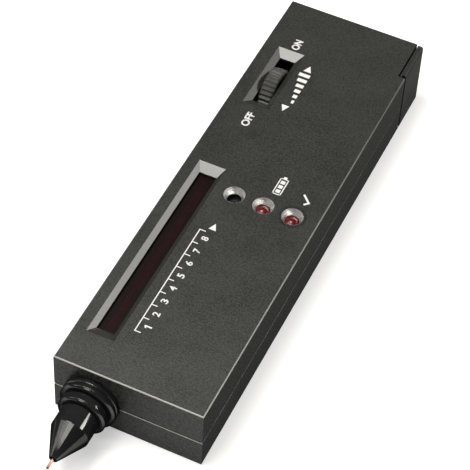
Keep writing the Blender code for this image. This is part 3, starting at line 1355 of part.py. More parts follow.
def make_screws():
    """Case screws driven from below, and board screws driven from above."""
    upside_down = Matrix.Rotation(math.pi, 4, "X")
    mesh = screw_mesh(CASE_SCREW_HEAD_RADIUS, CASE_SCREW_HEAD, CASE_SCREW_RADIUS, CASE_SCREW_LENGTH)
    places = []
    for x, y in CASE_SCREW_PLACES:
        places.append(Matrix.Translation((x, y, CASE_SCREW_SINK)) @ upside_down)
    paint(copies("case_screw", mesh, places), STEEL, 0.3, 1.0)
    mesh = screw_mesh(
        BOARD_SCREW_HEAD_RADIUS, BOARD_SCREW_HEAD, BOARD_SCREW_RADIUS, BOARD_SCREW_LENGTH - FIT
    )
    places = [Matrix.Translation((x, y, PART_BASE)) for x, y in BOARD_SCREW_PLACES]
    paint(copies("board_screw", mesh, places), STEEL, 0.3, 1.0)


make_upper_shell()
make_lower_shell()
make_battery_cover()
make_display()
make_bezels()
make_lamps()
make_thumbwheel()
make_volume_control()
make_board()
make_chips()
make_capacitors()
make_trimmers()
make_resistors()
make_buzzer()
make_battery()
make_nose_body()
make_probe()
make_screws()
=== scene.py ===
import math

import bmesh
import bpy
from mathutils import Matrix, Vector


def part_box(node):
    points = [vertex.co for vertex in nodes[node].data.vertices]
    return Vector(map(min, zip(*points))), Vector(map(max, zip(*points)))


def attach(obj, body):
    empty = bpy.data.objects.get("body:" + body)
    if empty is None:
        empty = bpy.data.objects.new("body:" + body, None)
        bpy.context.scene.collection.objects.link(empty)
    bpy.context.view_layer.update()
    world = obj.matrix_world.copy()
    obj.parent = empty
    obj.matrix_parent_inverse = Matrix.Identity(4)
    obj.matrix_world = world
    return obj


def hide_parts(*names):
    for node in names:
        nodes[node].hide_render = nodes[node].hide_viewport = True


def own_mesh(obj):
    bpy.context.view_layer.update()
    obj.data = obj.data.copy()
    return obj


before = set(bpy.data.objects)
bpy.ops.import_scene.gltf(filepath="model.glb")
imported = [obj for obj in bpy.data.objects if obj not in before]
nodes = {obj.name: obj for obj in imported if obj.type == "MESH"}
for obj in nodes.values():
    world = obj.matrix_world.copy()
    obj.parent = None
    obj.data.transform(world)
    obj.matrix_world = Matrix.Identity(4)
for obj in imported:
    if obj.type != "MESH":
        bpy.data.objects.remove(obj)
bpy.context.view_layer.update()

# Camera
# A long lens above the front right corner of the case, where the photograph was
# taken from. Its place and its three axes come from matching the case's corners.
camera_right = Vector((0.90463, 0.42409, 0.04221))
camera_up = Vector((-0.34675, 0.67482, 0.65144))
camera_back = Vector((0.24779, -0.60395, 0.75752))
camera_place = Vector((0.137838, -0.346429, 0.434159))
lens_data = bpy.data.cameras.new("camera")
lens_data.sensor_width = 36.0
lens_data.lens = 153.68
lens_data.clip_start = 0.01
camera = bpy.data.objects.new("camera", lens_data)
camera_turn = Matrix((camera_right, camera_up, camera_back)).transposed().to_4x4()
camera.matrix_world = Matrix.Translation(camera_place) @ camera_turn
bpy.context.scene.collection.objects.link(camera)
bpy.context.scene.camera = camera
bpy.context.scene.view_settings.view_transform = "Standard"

# Studio
# A plain white table, which can be seen through from below, and a large softbox
# overhead. Each smaller softbox shows in one place: a polished slope, a rubbed edge,
# the wheel or the glossy nose.
MM = 0.001
WHITE = (1.0, 1.0, 1.0, 1.0)
lamp_colour = (1.0, 0.99, 0.93)
sky_level = 0.08
table_size = 6.0
table_drop = 0.02 * MM
paper_grey = 0.86
paper_lift = 0.45


def add_node(tree, kind, values=None, **settings):
    """Add a shader node to a tree, with the values of its inputs and its own settings."""
    made = tree.nodes.new(f"ShaderNode{kind}")
    for name, value in settings.items():
        setattr(made, name, value)
    for name, value in (values or {}).items():
        made.inputs[name].default_value = value
    return made


def connect(tree, *links):
    """Link nodes of a tree, each link given as (node, output, node, input)."""
    for source, output, target, entry in links:
        tree.links.new(source.outputs[output], target.inputs[entry])


def new_material(name, colour, roughness, metallic=0.0):
    """Make a material with one plain shader, and return it with its node tree and shader."""
    material = bpy.data.materials.new(name)
    material.use_nodes = True
    shader = material.node_tree.nodes["Principled BSDF"]
    shader.inputs["Base Color"].default_value = (*colour, 1.0)
    shader.inputs["Roughness"].default_value = roughness
    shader.inputs["Metallic"].default_value = metallic
    return material, material.node_tree, shader


def softbox(name, place, width, height, brightness, aim=(0, 0, 0)):
    """Hang a rectangular lamp at a place, facing an aim, by how bright it looks."""
    lamp = bpy.data.lights.new(name, "AREA")
    lamp.color = lamp_colour
    lamp.shape = "RECTANGLE"
    lamp.size = width
    lamp.size_y = height
    lamp.energy = brightness * math.pi * width * height
    hung = bpy.data.objects.new(name, lamp)
    place = Vector(place)
    facing = (place - Vector(aim)).to_track_quat("Z", "Y").to_matrix().to_4x4()
    hung.matrix_world = Matrix.Translation(place) @ facing
    bpy.context.scene.collection.objects.link(hung)


def start_clean():
    """Leave edit mode, and deselect everything."""
    if bpy.context.mode != "OBJECT":
        bpy.ops.object.mode_set(mode="OBJECT")
    bpy.ops.object.select_all(action="DESELECT")


softbox("overhead_softbox", (-0.165, -0.005, 0.57), 0.21, 0.3, 12.3)
softbox("nose_left_softbox", (-0.31, -0.29, 0.55), 0.26, 0.12, 5.0, aim=(-0.31, 0.05, 0))
softbox("nose_middle_softbox", (-0.03, -0.29, 0.55), 0.30, 0.12, 8.5, aim=(-0.03, 0.05, 0))
softbox("window_slope_softbox", (0.42, 0.30, 0.19), 0.2, 0.13, 6.0)
softbox("wheel_slope_softbox", (0.353, 0.44, 0.276), 0.14, 0.14, 2.4)
softbox("right_edge_softbox", (0.455, 0.212, 0.29), 0.12, 0.16, 13.0)
softbox("front_edge_softbox", (-0.148, -0.518, 0.312), 0.13, 0.07, 9.0)
softbox("left_softbox", (-0.41, -0.25, 0.30), 0.2, 0.3, 3.2)
softbox("wheel_rib_softbox", (-0.16, 0.586, 0.233), 0.11, 0.08, 10.0)

world = bpy.data.worlds.new("studio")
bpy.context.scene.world = world
world.use_nodes = True
sky = world.node_tree.nodes["Background"]
sky.inputs["Color"].default_value = WHITE
sky_seen = add_node(world.node_tree, "LightPath")
sky_strength = add_node(world.node_tree, "MapRange", {"To Min": sky_level, "To Max": 1.0})
connect(
    world.node_tree,
    (sky_seen, "Is Camera Ray", sky_strength, "Value"), (sky_strength, "Result", sky, "Strength"),
)

start_clean()
bpy.ops.mesh.primitive_plane_add(size=table_size, location=(0, 0, -table_drop))
table = bpy.context.object
table.name = "table"
paper, paper_tree, paper_shader = new_material("table_paper", (paper_grey,) * 3, 0.9)
paper_seen = add_node(paper_tree, "LightPath")
lit = None
for ray in ("Is Camera Ray", "Is Glossy Ray", "Is Transmission Ray"):
    lift = add_node(paper_tree, "Math", {1: paper_lift, 2: 0.0}, operation="MULTIPLY_ADD")
    connect(paper_tree, (paper_seen, ray, lift, 0))
    if lit:
        connect(paper_tree, (lit, "Value", lift, 2))
    lit = lift
paper_shader.inputs["Emission Color"].default_value = WHITE
paper_side = add_node(paper_tree, "NewGeometry")
paper_window = add_node(paper_tree, "BsdfTransparent")
paper_surface = add_node(paper_tree, "MixShader")
connect(
    paper_tree,
    (lit, "Value", paper_shader, "Emission Strength"), (paper_side, "Backfacing", paper_surface, "Fac"),
    (paper_shader, "BSDF", paper_surface, 1), (paper_window, "BSDF", paper_surface, 2),
    (paper_surface, "Shader", paper_tree.nodes["Material Output"], "Surface"),
)
table.data.materials.append(paper)

# Lower shell of the case
# Moulded black plastic, with a matte spark-eroded outside. Its edges are rounded by
# the mould and rubbed smooth by handling, most of all towards the nose. Their lighter
# colour is partly wear and partly painted highlight, and it grows towards the nose
# as painted highlight.
shell_low, shell_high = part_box("upper_shell")
micrometre_digits = 6
case_half_width, case_half_length, case_height = [round(side, micrometre_digits) for side in shell_high]
seam_gap = 0.3 * MM
seam_high = round(shell_low.z, micrometre_digits)
seam_low = seam_high - seam_gap
seam_round = 0.2 * MM
edge_round = 0.3 * MM
bottom_round = 0.1 * MM
edge_steps = 6
skin_reach = 0.7 * MM
nearness = 0.01 * MM
weld_reach = 0.001 * MM
shell_angle = 20
square_on = 0.99
front_lean = 0.3
wear_and_highlight_start = 40 * MM
wear_and_highlight_end = -76 * MM


def pick(piece):
    """Make one object the only selected and the active one."""
    start_clean()
    piece.select_set(True)
    bpy.context.view_layer.objects.active = piece


def choose(piece, kind, test):
    """Select, in edit mode, the corners, edges or faces of a piece that pass a test."""
    bpy.ops.mesh.select_all(action="DESELECT")
    bpy.ops.mesh.select_mode(type=kind)
    shape = bmesh.from_edit_mesh(piece.data)
    for item in {"VERT": shape.verts, "EDGE": shape.edges, "FACE": shape.faces}[kind]:
        item.select_set(bool(test(item)))
    bmesh.update_edit_mesh(piece.data)


def ends(edge):
    """Return the places of an edge's two corners."""
    return [corner.co for corner in edge.verts]


def bevel(piece, width, steps, test):
    """Round, in edit mode, the edges of a piece that pass a test."""
    choose(piece, "EDGE", test)
    bpy.ops.mesh.bevel(offset=width, segments=steps, affect="EDGES")


def at(value, goal):
    """Tell whether a coordinate lies at a goal."""
    return abs(value - goal) < nearness


def block(name, start, finish):
    """Add a cube primitive between two opposite corners, in edit mode."""
    start_clean()
    low, high = map(Vector, zip(*(sorted(pair) for pair in zip(start, finish))))
    bpy.ops.mesh.primitive_cube_add(size=1.0, location=(low + high) / 2, scale=high - low)
    piece = bpy.context.object
    piece.name = piece.data.name = name
    bpy.ops.object.transform_apply(location=True, rotation=True, scale=True)
    bpy.ops.object.mode_set(mode="EDIT")
    return piece


def merged_copy(node, name):
    """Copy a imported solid's mesh, join its loose corners and clear its flat faces."""
    piece = bpy.data.objects.new(name, nodes[node].data.copy())
    piece.data.name = name
    bpy.context.scene.collection.objects.link(piece)
    pick(piece)
    bpy.ops.mesh.customdata_custom_splitnormals_clear()
    bpy.ops.object.mode_set(mode="EDIT")
    bpy.ops.mesh.select_all(action="SELECT")
    bpy.ops.mesh.remove_doubles(threshold=weld_reach)
    bpy.ops.mesh.dissolve_limited(angle_limit=math.radians(0.5))
    bpy.ops.object.mode_set(mode="OBJECT")
    piece.data.materials.clear()
    return piece


def run_boolean(piece, tool, operation):
    """Cut a piece by a tool, join them or keep what they share, and remove the tool."""
    pick(piece)
    step = piece.modifiers.new("cut", "BOOLEAN")
    step.operation = operation
    step.solver = "EXACT"
    step.object = tool
    bpy.ops.object.modifier_apply(modifier=step.name)
    bpy.data.objects.remove(tool, do_unlink=True)


def finish_piece(piece, body, replaced, materials, angle=30):
    """Smooth a piece up to an angle, and give it materials, a body and the solids it replaces."""
    pick(piece)
    if angle:
        bpy.ops.object.shade_smooth_by_angle(angle=math.radians(angle))
        weigh = piece.modifiers.new("weigh", "WEIGHTED_NORMAL")
        weigh.keep_sharp = True
        bpy.ops.object.modifier_apply(modifier=weigh.name)
    for material in materials:
        piece.data.materials.append(material)
    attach(piece, body)
    if replaced:
        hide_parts(*replaced)


def new_group(name, inputs, outputs):
    """Make a shader group with named sockets, and return it with its two end nodes."""
    group = bpy.data.node_groups.new(name, "ShaderNodeTree")
    for way, sockets in (("INPUT", inputs), ("OUTPUT", outputs)):
        for socket, kind in sockets.items():
            group.interface.new_socket(name=socket, in_out=way, socket_type=f"NodeSocket{kind}")
    return group, group.nodes.new("NodeGroupInput"), group.nodes.new("NodeGroupOutput")


def grain_group():
    """Build the group for a moulded surface: mottled colour, uneven gloss and fine pits."""
    group, given, result = new_group(
        "moulded_grain",
        {
            "Dark Colour": "Color", "Light Colour": "Color", "Grain Scale": "Float",
            "Grain Depth": "Float", "Low Roughness": "Float", "High Roughness": "Float",
        },
        {"Colour": "Color", "Roughness": "Float", "Normal": "Vector"},
    )
    place = add_node(group, "TexCoord")
    fine = add_node(group, "TexNoise", {"Detail": 3.0, "Roughness": 0.6})
    broad = add_node(group, "TexNoise", {"Scale": 90.0, "Detail": 4.0})
    blend = add_node(group, "Mix", {"Factor": 0.12}, data_type="FLOAT")
    spread = add_node(group, "MapRange", {"From Min": 0.32, "From Max": 0.68})
    colour = add_node(group, "Mix", data_type="RGBA")
    gloss = add_node(group, "MapRange", {"From Min": 0.3, "From Max": 0.7})
    bump = add_node(group, "Bump")
    connect(
        group,
        (place, "Object", fine, "Vector"), (place, "Object", broad, "Vector"),
        (given, "Grain Scale", fine, "Scale"), (given, "Grain Depth", bump, "Distance"),
        (fine, "Fac", blend, "A"), (broad, "Fac", blend, "B"), (blend, "Result", spread, "Value"),
        (spread, "Result", colour, "Factor"), (given, "Dark Colour", colour, "A"),
        (given, "Light Colour", colour, "B"), (broad, "Fac", gloss, "Value"),
        (given, "Low Roughness", gloss, "To Min"), (given, "High Roughness", gloss, "To Max"),
        (fine, "Fac", bump, "Height"), (colour, "Result", result, "Colour"),
        (gloss, "Result", result, "Roughness"), (bump, "Normal", result, "Normal"),
    )
    return group


def fade_group():
    """Build the group for a mask that grows along the case, from a start to an end."""
    group, given, result = new_group(
        "fade_along_case", {"Start": "Float", "End": "Float"}, {"Mask": "Float"}
    )
    place = add_node(group, "TexCoord")
    axes = add_node(group, "SeparateXYZ")
    spread = add_node(group, "MapRange")
    connect(
        group,
        (place, "Object", axes, "Vector"), (axes, "Y", spread, "Value"),
        (given, "Start", spread, "From Min"), (given, "End", spread, "From Max"),
        (spread, "Result", result, "Mask"),
    )
    return group


moulded_grain = grain_group()
fade_along_case = fade_group()


def moulded(name, dark, light, scale, depth, roughness, metallic=0.0):
    """Make a material whose colour, gloss and pits come from the moulded grain."""
    material, tree, shader = new_material(name, dark, roughness[0], metallic)
    grain = add_node(tree, "Group", {
        "Dark Colour": (*dark, 1.0), "Light Colour": (*light, 1.0), "Grain Scale": scale,
        "Grain Depth": depth, "Low Roughness": roughness[0], "High Roughness": roughness[1],
    }, node_tree=moulded_grain, name="grain")
    connect(
        tree,
        (grain, "Colour", shader, "Base Color"), (grain, "Roughness", shader, "Roughness"),
        (grain, "Normal", shader, "Normal"),
    )
    return material


def overlay(material, colour, mask, output):
    """Lay a second colour over a material's grain, as much as a mask says."""
    tree = material.node_tree
    mix = add_node(tree, "Mix", {"B": (*colour, 1.0)}, data_type="RGBA")
    connect(
        tree,
        (mask, output, mix, "Factor"), (tree.nodes["grain"], "Colour", mix, "A"),
        (mix, "Result", tree.nodes["Principled BSDF"], "Base Color"),
    )


def fade(material, start, end):
    """Add a mask to a material that grows along the case, from a start to an end."""
    values = {"Start": start, "End": end}
    return add_node(material.node_tree, "Group", values, node_tree=fade_along_case)


def gloss_by_angle(material, facing_level, grazing_level, start=0.24, end=0.53):
    """Change a surface's gloss between where it is faced and where it is seen edge on."""
    tree = material.node_tree
    shader = tree.nodes["Principled BSDF"]
    facing = add_node(tree, "LayerWeight")
    level = add_node(tree, "MapRange", {
        "From Min": start, "From Max": end, "To Min": facing_level, "To Max": grazing_level,
    })
    shader.inputs["Specular IOR Level"].default_value = facing_level
    connect(tree, (facing, "Facing", level, "Value"), (level, "Result", shader, "Specular IOR Level"))


matte_plastic = moulded(
    "matte_case_plastic", (0.001, 0.001, 0.001), (0.045, 0.046, 0.0415),
    scale=2000, depth=0.045 * MM, roughness=(0.35, 0.39),
)
gloss_by_angle(matte_plastic, 0.64, 0.002)
# Painted highlight: the rounded edges and the seam are lighter than the case, partly from wear and partly
# as painted highlight.
rubbed_and_highlit_plastic = moulded(
    "rubbed_edge_painted_highlight_plastic", (0.05, 0.05, 0.047), (0.09, 0.09, 0.085),
    scale=1600, depth=0.003 * MM, roughness=(0.28, 0.36),
)
rubbed_and_highlit_tree = rubbed_and_highlit_plastic.node_tree
rubbed_and_highlit_shader = rubbed_and_highlit_tree.nodes["Principled BSDF"]
rubbed_and_highlit_shader.inputs["Specular IOR Level"].default_value = 0.8
wear_and_highlight_mask = fade(rubbed_and_highlit_plastic, wear_and_highlight_start, wear_and_highlight_end)
# Painted highlight: the edges lighten further towards the nose, where the lamps catch them.
overlay(rubbed_and_highlit_plastic, (0.34, 0.34, 0.32), wear_and_highlight_mask, "Mask")
worn_gloss = add_node(rubbed_and_highlit_tree, "Mix", {"A": 0.58}, data_type="FLOAT")
connect(
    rubbed_and_highlit_tree,
    (wear_and_highlight_mask, "Mask", worn_gloss, "Factor"), (rubbed_and_highlit_tree.nodes["grain"], "Roughness", worn_gloss, "B"),
    (worn_gloss, "Result", rubbed_and_highlit_shader, "Roughness"),
)
polished_plastic = moulded(
    "polished_recess_plastic", (0.028, 0.028, 0.026), (0.034, 0.034, 0.032),
    scale=900, depth=0.001 * MM, roughness=(0.1, 0.14),
)


def on_outside(place):
    """Tell whether a place lies near the case's upright outside."""
    wide = abs(place.x) > case_half_width - skin_reach
    long = abs(place.y) > case_half_length - skin_reach
    return wide or long


def rounded_case(name, top, rim, radius):
    """Make a solid block of the case's outline, with the edge at one height rounded."""
    tool = block(
        name, (-case_half_width, -case_half_length, 0), (case_half_width, case_half_length, top)
    )
    bevel(tool, radius, edge_steps, lambda edge: all(at(end.z, rim) for end in ends(edge)))
    return tool


def round_seam(piece, height, width, steps):
    """Round the edge of a shell that faces the seam."""
    bpy.ops.object.mode_set(mode="EDIT")
    bevel(piece, width, steps, lambda edge: all(
        at(end.z, height) and on_outside(end) for end in ends(edge)
    ))


def paint(piece, material, test):
    """Give the faces of a piece that pass a test one of its materials."""
    number = piece.data.materials.find(material.name)
    for face in piece.data.polygons:
        if test(face):
            face.material_index = number


def is_rubbed(face):
    """Tell whether a face lies on a rounded top edge or on the rounded front seam."""
    slanted = max(abs(part) for part in face.normal) < square_on
    at_top = case_height - face.center.z < edge_round
    at_seam = face.normal.y < -front_lean and 0 < seam_low - face.center.z < seam_round
    return slanted and on_outside(face.center) and (at_top or at_seam)


case_bottom = merged_copy("lower_shell", "case_bottom")
run_boolean(case_bottom, rounded_case("bottom_tool", 12 * MM, 0, bottom_round), "INTERSECT")
round_seam(case_bottom, seam_low, seam_round, 3)
finish_piece(
    case_bottom, "case", ["lower_shell"], [matte_plastic, rubbed_and_highlit_plastic], shell_angle
)
# The rounded edges and the front seam get the lighter rubbed plastic, which is partly wear and partly
# painted highlight.
paint(case_bottom, rubbed_and_highlit_plastic, is_rubbed)

# Circuit board
# A glass-fibre board with green solder mask, which carries everything but the
# battery. Two screws hold it to posts, and two case screws clamp it as well.
track_length = 11.4 * MM
track_pitch = 1.6 * MM
track_width = 0.2 * MM


def dress(names, material):
    """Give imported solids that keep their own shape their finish."""
    for name in names:
        for holder in nodes[name].material_slots:
            holder.material = material


board_mask = moulded(
    "board_mask", (0.012, 0.085, 0.028), (0.018, 0.115, 0.04),
    scale=700, depth=0.002 * MM, roughness=(0.22, 0.34),
)
mask_place = add_node(board_mask.node_tree, "TexCoord")
tracks = add_node(board_mask.node_tree, "TexBrick", {
    "Scale": 1.0, "Brick Width": track_length, "Row Height": track_pitch,
    "Mortar Size": track_width, "Mortar Smooth": 0.1,
})
connect(board_mask.node_tree, (mask_place, "Object", tracks, "Vector"))
overlay(board_mask, (0.022, 0.15, 0.052), tracks, "Fac")
dress(["circuit_board"], board_mask)

# Chips
# Two display drivers with eighteen legs and an amplifier with eight, each a black
# moulded body with a notch at its first leg, on a tinned frame of bent legs.
chip_plastic = moulded(
    "chip_plastic", (0.010, 0.010, 0.011), (0.020, 0.020, 0.021),
    scale=2600, depth=0.006 * MM, roughness=(0.38, 0.48),
)
tinned_metal = moulded(
    "tinned_metal", (0.50, 0.50, 0.48), (0.64, 0.63, 0.60),
    scale=1200, depth=0.003 * MM, roughness=(0.28, 0.4), metallic=1.0,
)
chip_lift = 0.6 * MM
chip_half_width = 3.2 * MM
chip_draft_shares = (0.93, 0.99, 1)
chip_top_inset = 0.15 * MM
chip_top_rise = 0.05 * MM
notch_radius = 0.8 * MM
notch_depth = 0.4 * MM
notch_rise = 0.1 * MM
leg_pitch = 2.54 * MM
leg_width = 0.6 * MM
leg_gauge = 0.3 * MM
leg_root = 0.3 * MM
leg_taper_share = 0.5
mostly = 0.9
crease_angle = math.radians(25)


def extent(node):
    """Return the low corner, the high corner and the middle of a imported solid's box."""
    low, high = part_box(node)
    return low, high, (low + high) / 2


def join_pieces(pieces, name):
    """Join several objects into the first one, and name it."""
    pick(pieces[0])
    for piece in pieces:
        piece.select_set(True)
    bpy.ops.object.join()
    joined = bpy.context.object
    joined.name = joined.data.name = name
    return joined


def turned(name, profile, place, steps=96, soften=0.0):
    """Turn a chain of (radius, height) points round an axis, as on a lathe, and place it."""
    start_clean()
    bpy.ops.mesh.primitive_plane_add(size=MM)
    piece = bpy.context.object
    piece.name = piece.data.name = name
    bpy.ops.object.mode_set(mode="EDIT")
    bpy.ops.mesh.select_mode(type="VERT")
    bpy.ops.mesh.select_all(action="SELECT")
    bpy.ops.mesh.merge(type="CENTER")
    here = Vector((0, 0, 0))
    for number, (radius, height) in enumerate(profile):
        there = Vector((radius, 0, height))
        if number:
            bpy.ops.mesh.extrude_vertices_move(TRANSFORM_OT_translate={"value": there - here})
        else:
            bpy.ops.transform.translate(value=there)
        here = there
    bpy.ops.mesh.select_all(action="SELECT")
    bpy.ops.mesh.spin(steps=steps, angle=2 * math.pi, center=(0, 0, 0), axis=(0, 0, 1))
    bpy.ops.mesh.select_all(action="SELECT")
    bpy.ops.mesh.remove_doubles(threshold=weld_reach)
    bpy.ops.mesh.normals_make_consistent(inside=False)
    if soften:
        bpy.ops.mesh.select_all(action="DESELECT")
        bpy.ops.mesh.edges_select_sharp(sharpness=crease_angle)
        bpy.ops.mesh.bevel(offset=soften, segments=2, affect="EDGES")
    bpy.ops.object.mode_set(mode="OBJECT")
    piece.matrix_world = place
    bpy.ops.object.transform_apply(location=True, rotation=True, scale=True)
    return piece


def chip(node, name, legs):
    """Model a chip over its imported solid: a drafted body and two rows of bent legs."""
    low, high, middle = extent(node)
    base = low.z + chip_lift
    waist = (base + high.z) / 2
    body = block(
        name, (middle.x - chip_half_width, low.y, base), (middle.x + chip_half_width, high.y, high.z)
    )
    bpy.ops.mesh.select_all(action="SELECT")
    bpy.ops.mesh.bisect(plane_co=(middle.x, middle.y, waist), plane_no=(0, 0, 1))
    choose(body, "VERT", lambda corner: not at(corner.co.z, waist))
    bpy.ops.transform.resize(value=chip_draft_shares, center_override=middle)
    choose(body, "FACE", lambda face: face.normal.z > mostly)
    bpy.ops.mesh.inset(thickness=chip_top_inset, depth=chip_top_rise)
    notch = turned(f"{name}_notch", [
        (0.0, 0.0), (notch_radius, 0.0), (notch_radius, -notch_depth), (0.0, -notch_depth), (0.0, 0.0),
    ], Matrix.Translation((middle.x, low.y, high.z + notch_rise)), 24)
    run_boolean(body, notch, "DIFFERENCE")
    pieces = [body]
    for leg in range(legs):
        y = middle.y + (leg - (legs - 1) / 2) * leg_pitch
        for side in (-1, 1):
            inner = middle.x + side * (chip_half_width - leg_root)
            outer = middle.x + side * (chip_half_width + leg_gauge)
            bent = block(
                "leg", (inner, y - leg_width, waist - leg_gauge / 2),
                (outer, y + leg_width, waist + leg_gauge / 2),
            )
            choose(bent, "FACE", lambda face: face.normal.z < -mostly)
            bpy.ops.mesh.extrude_region_move(TRANSFORM_OT_translate={"value": (0, 0, low.z - waist)})
            thinning = (leg_gauge / abs(outer - inner), leg_taper_share, 1)
            bpy.ops.transform.resize(value=thinning, center_override=(outer, y, low.z))
            pieces.append(bent)
    start_clean()
    for piece in pieces:
        piece.data.materials.append(chip_plastic)
        piece.data.materials.append(tinned_metal)
        paint(piece, tinned_metal, lambda face: piece != body)
    finish_piece(join_pieces(pieces, name), "case", [node], [])


chip("driver_chip_1", "driver_1", 9)
chip("driver_chip_2", "driver_2", 9)
chip("amplifier_chip", "amplifier", 4)

# Capacitors, trimmers and resistors
# Three sleeved capacitors with a scored metal top, two square trimmers, and four
# resistors with their bands of colour, all soldered to the board by their wires.
sleeve_plastic = moulded(
    "capacitor_sleeve", (0.010, 0.022, 0.085), (0.014, 0.030, 0.11),
    scale=500, depth=0.002 * MM, roughness=(0.2, 0.3),
)
can_metal = moulded(
    "can_metal", (0.58, 0.58, 0.58), (0.70, 0.70, 0.70),
    scale=1500, depth=0.002 * MM, roughness=(0.25, 0.35), metallic=1.0,
)
capacitor_count = 3
sleeve_edge_share = 0.73
sleeve_edge_depth = 0.3 * MM

# Each point is a share of the radius, and millimetres from the top or from the foot.
can_top = ((0.0, -0.15), (0.72, -0.15), (0.74, 0.0), (0.9, 0.0), (1.0, -0.25))
can_foot = ((1.0, 1.9), (0.86, 1.6), (0.86, 1.4), (1.0, 1.1), (1.0, 0.2), (0.9, 0.0), (0.0, 0.0))
for number in range(1, capacitor_count + 1):
    node = f"capacitor_{number}"
    low, high, middle = extent(node)
    radius = (high.x - low.x) / 2
    profile = [(radius * share, high.z + rise * MM) for share, rise in can_top]
    profile += [(radius * share, low.z + rise * MM) for share, rise in can_foot]
    can = turned(f"sleeved_can_{number}", profile, Matrix.Translation((middle.x, middle.y, 0)), 48)
    finish_piece(can, "case", [node], [sleeve_plastic, can_metal])
    paint(can, can_metal, lambda face: (
        face.center.z > high.z - sleeve_edge_depth
        and (face.center - middle).xy.length < radius * sleeve_edge_share
    ))

trimmer_plastic = moulded(
    "trimmer_plastic", (0.008, 0.030, 0.13), (0.012, 0.045, 0.18),
    scale=900, depth=0.003 * MM, roughness=(0.32, 0.42),
)
dress(["trimmer_1", "trimmer_2"], trimmer_plastic)

resistor_body = moulded(
    "resistor_body", (0.52, 0.40, 0.25), (0.62, 0.49, 0.31),
    scale=900, depth=0.004 * MM, roughness=(0.32, 0.42),
)
band_colours = {
    "band_brown": (0.09, 0.025, 0.01), "band_black": (0.01, 0.01, 0.01),
    "band_orange": (0.55, 0.13, 0.01), "band_gold": (0.42, 0.27, 0.06),
}
band_paints = [
    moulded(name, colour, colour, scale=900, depth=0.003 * MM, roughness=(0.3, 0.4))
    for name, colour in band_colours.items()
]
band_shares = (-0.62, -0.25, 0.02, 0.55)
band_half = 0.22 * MM
resistor_count = 4
resistor_half = 2.8 * MM
resistor_radius = 1.1 * MM
wire_width = 0.5 * MM
wire_round = 0.6 * wire_width
wire_reach = 0.4 * resistor_radius
waist_radius = 0.82 * resistor_radius
waist_shares = (0.22, 0.02, -0.25)

# Each point of a bulging end is a share of the radius and a share of the half length.
bulging_end = ((0.0, 1.0), (0.7, 1.0), (1.0, 0.9), (1.0, 0.55), (0.84, 0.4))
resistor_top = [(resistor_radius * reach, resistor_half * along) for reach, along in bulging_end]
resistor_waist = [
    (waist_radius, resistor_half * share + edge)
    for share in waist_shares for edge in (band_half, -band_half)
]
resistor_foot = [(radius, -height) for radius, height in reversed(resistor_top)]
lying = Matrix.Rotation(math.pi / 2, 4, "Y")
for number in range(1, resistor_count + 1):
    node = f"resistor_{number}"
    low, high, middle = extent(node)
    axis_height = low.z + resistor_radius
    place = Matrix.Translation((middle.x, middle.y, axis_height)) @ lying
    pieces = [turned(f"banded_resistor_{number}", resistor_top + resistor_waist + resistor_foot, place, 32)]
    for side in (-1, 1):
        start = middle.x + side * (resistor_half - wire_width)
        finish = middle.x + side * (high.x - low.x) / 2
        bend = finish - side * wire_width
        wire = block(
            "wire", (start, middle.y - wire_width / 2, axis_height - wire_width / 2),
            (finish, middle.y + wire_width / 2, axis_height + wire_width / 2),
        )
        bpy.ops.mesh.select_all(action="SELECT")
        bpy.ops.mesh.bisect(plane_co=(bend, 0, 0), plane_no=(1, 0, 0))
        choose(wire, "FACE", lambda face: (
            face.normal.z < -mostly and (face.calc_center_median().x - bend) * side > 0
        ))
        drop = axis_height - wire_width / 2 - low.z
        bpy.ops.mesh.extrude_region_move(TRANSFORM_OT_translate={"value": (0, 0, -drop)})
        bevel(wire, wire_round, 3, lambda edge: all(
            at(end.x, finish) and end.z > axis_height for end in ends(edge)
        ))
        pieces.append(wire)
    made = join_pieces(pieces, f"banded_resistor_{number}")
    finish_piece(made, "case", [node], [resistor_body, tinned_metal, *band_paints], 35)
    for band_paint, share in zip(band_paints, band_shares):
        band_x = middle.x + resistor_half * share
        paint(made, band_paint, lambda face: abs(face.center.x - band_x) < band_half)
    paint(made, tinned_metal, lambda face: (
        abs(face.center.x - middle.x) > resistor_half
        or math.hypot(face.center.y - middle.y, face.center.z - axis_height) < wire_reach
    ))

# Display lights
# Twelve rectangular lights in a row, tight beside each other on the board, each a
# red moulding with a frosted lens. All of them are off.
light_plastic = moulded(
    "light_plastic", (0.32, 0.045, 0.04), (0.46, 0.075, 0.065),
    scale=2500, depth=0.003 * MM, roughness=(0.3, 0.4),
)
light_count = 12
light_round = 0.2 * MM
light_well_inset = 0.35 * MM
light_well_depth = 0.12 * MM
for number in range(1, light_count + 1):
    node = f"display_light_{number}"
    light_low, light_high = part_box(node)
    light = block(f"light_bar_{number}", light_low, light_high)
    bevel(light, light_round, 2, lambda edge: max(end.z for end in ends(edge)) > light_low.z + MM)
    choose(light, "FACE", lambda face: face.normal.z > square_on)
    bpy.ops.mesh.inset(thickness=light_well_inset, depth=-light_well_depth)
    finish_piece(light, "case", [node], [light_plastic], 40)

# Lamps
# Two round red lamps of clear tinted epoxy, each on two legs in the board. The small
# bright cup inside each is not modelled.
lamp_epoxy = moulded(
    "lamp_epoxy", (0.17, 0.004, 0.006), (0.25, 0.006, 0.009),
    scale=900, depth=0.001 * MM, roughness=(0.24, 0.3),
)
lamp_shader = lamp_epoxy.node_tree.nodes["Principled BSDF"]
lamp_shader.inputs["Transmission Weight"].default_value = 0.55
lamp_shader.inputs["IOR"].default_value = 1.53
lamp_radius = 2.5 * MM
lamp_stand_off = 0.8 * MM
lamp_rim_height = 1.0 * MM


def dome(radius, top, steps):
    """Return the outline of a round dome, as (radius, height) points from its top down."""
    angles = [math.pi / 2 * step / steps for step in range(steps + 1)]
    return [(radius * math.sin(angle), top - radius * (1 - math.cos(angle))) for angle in angles]


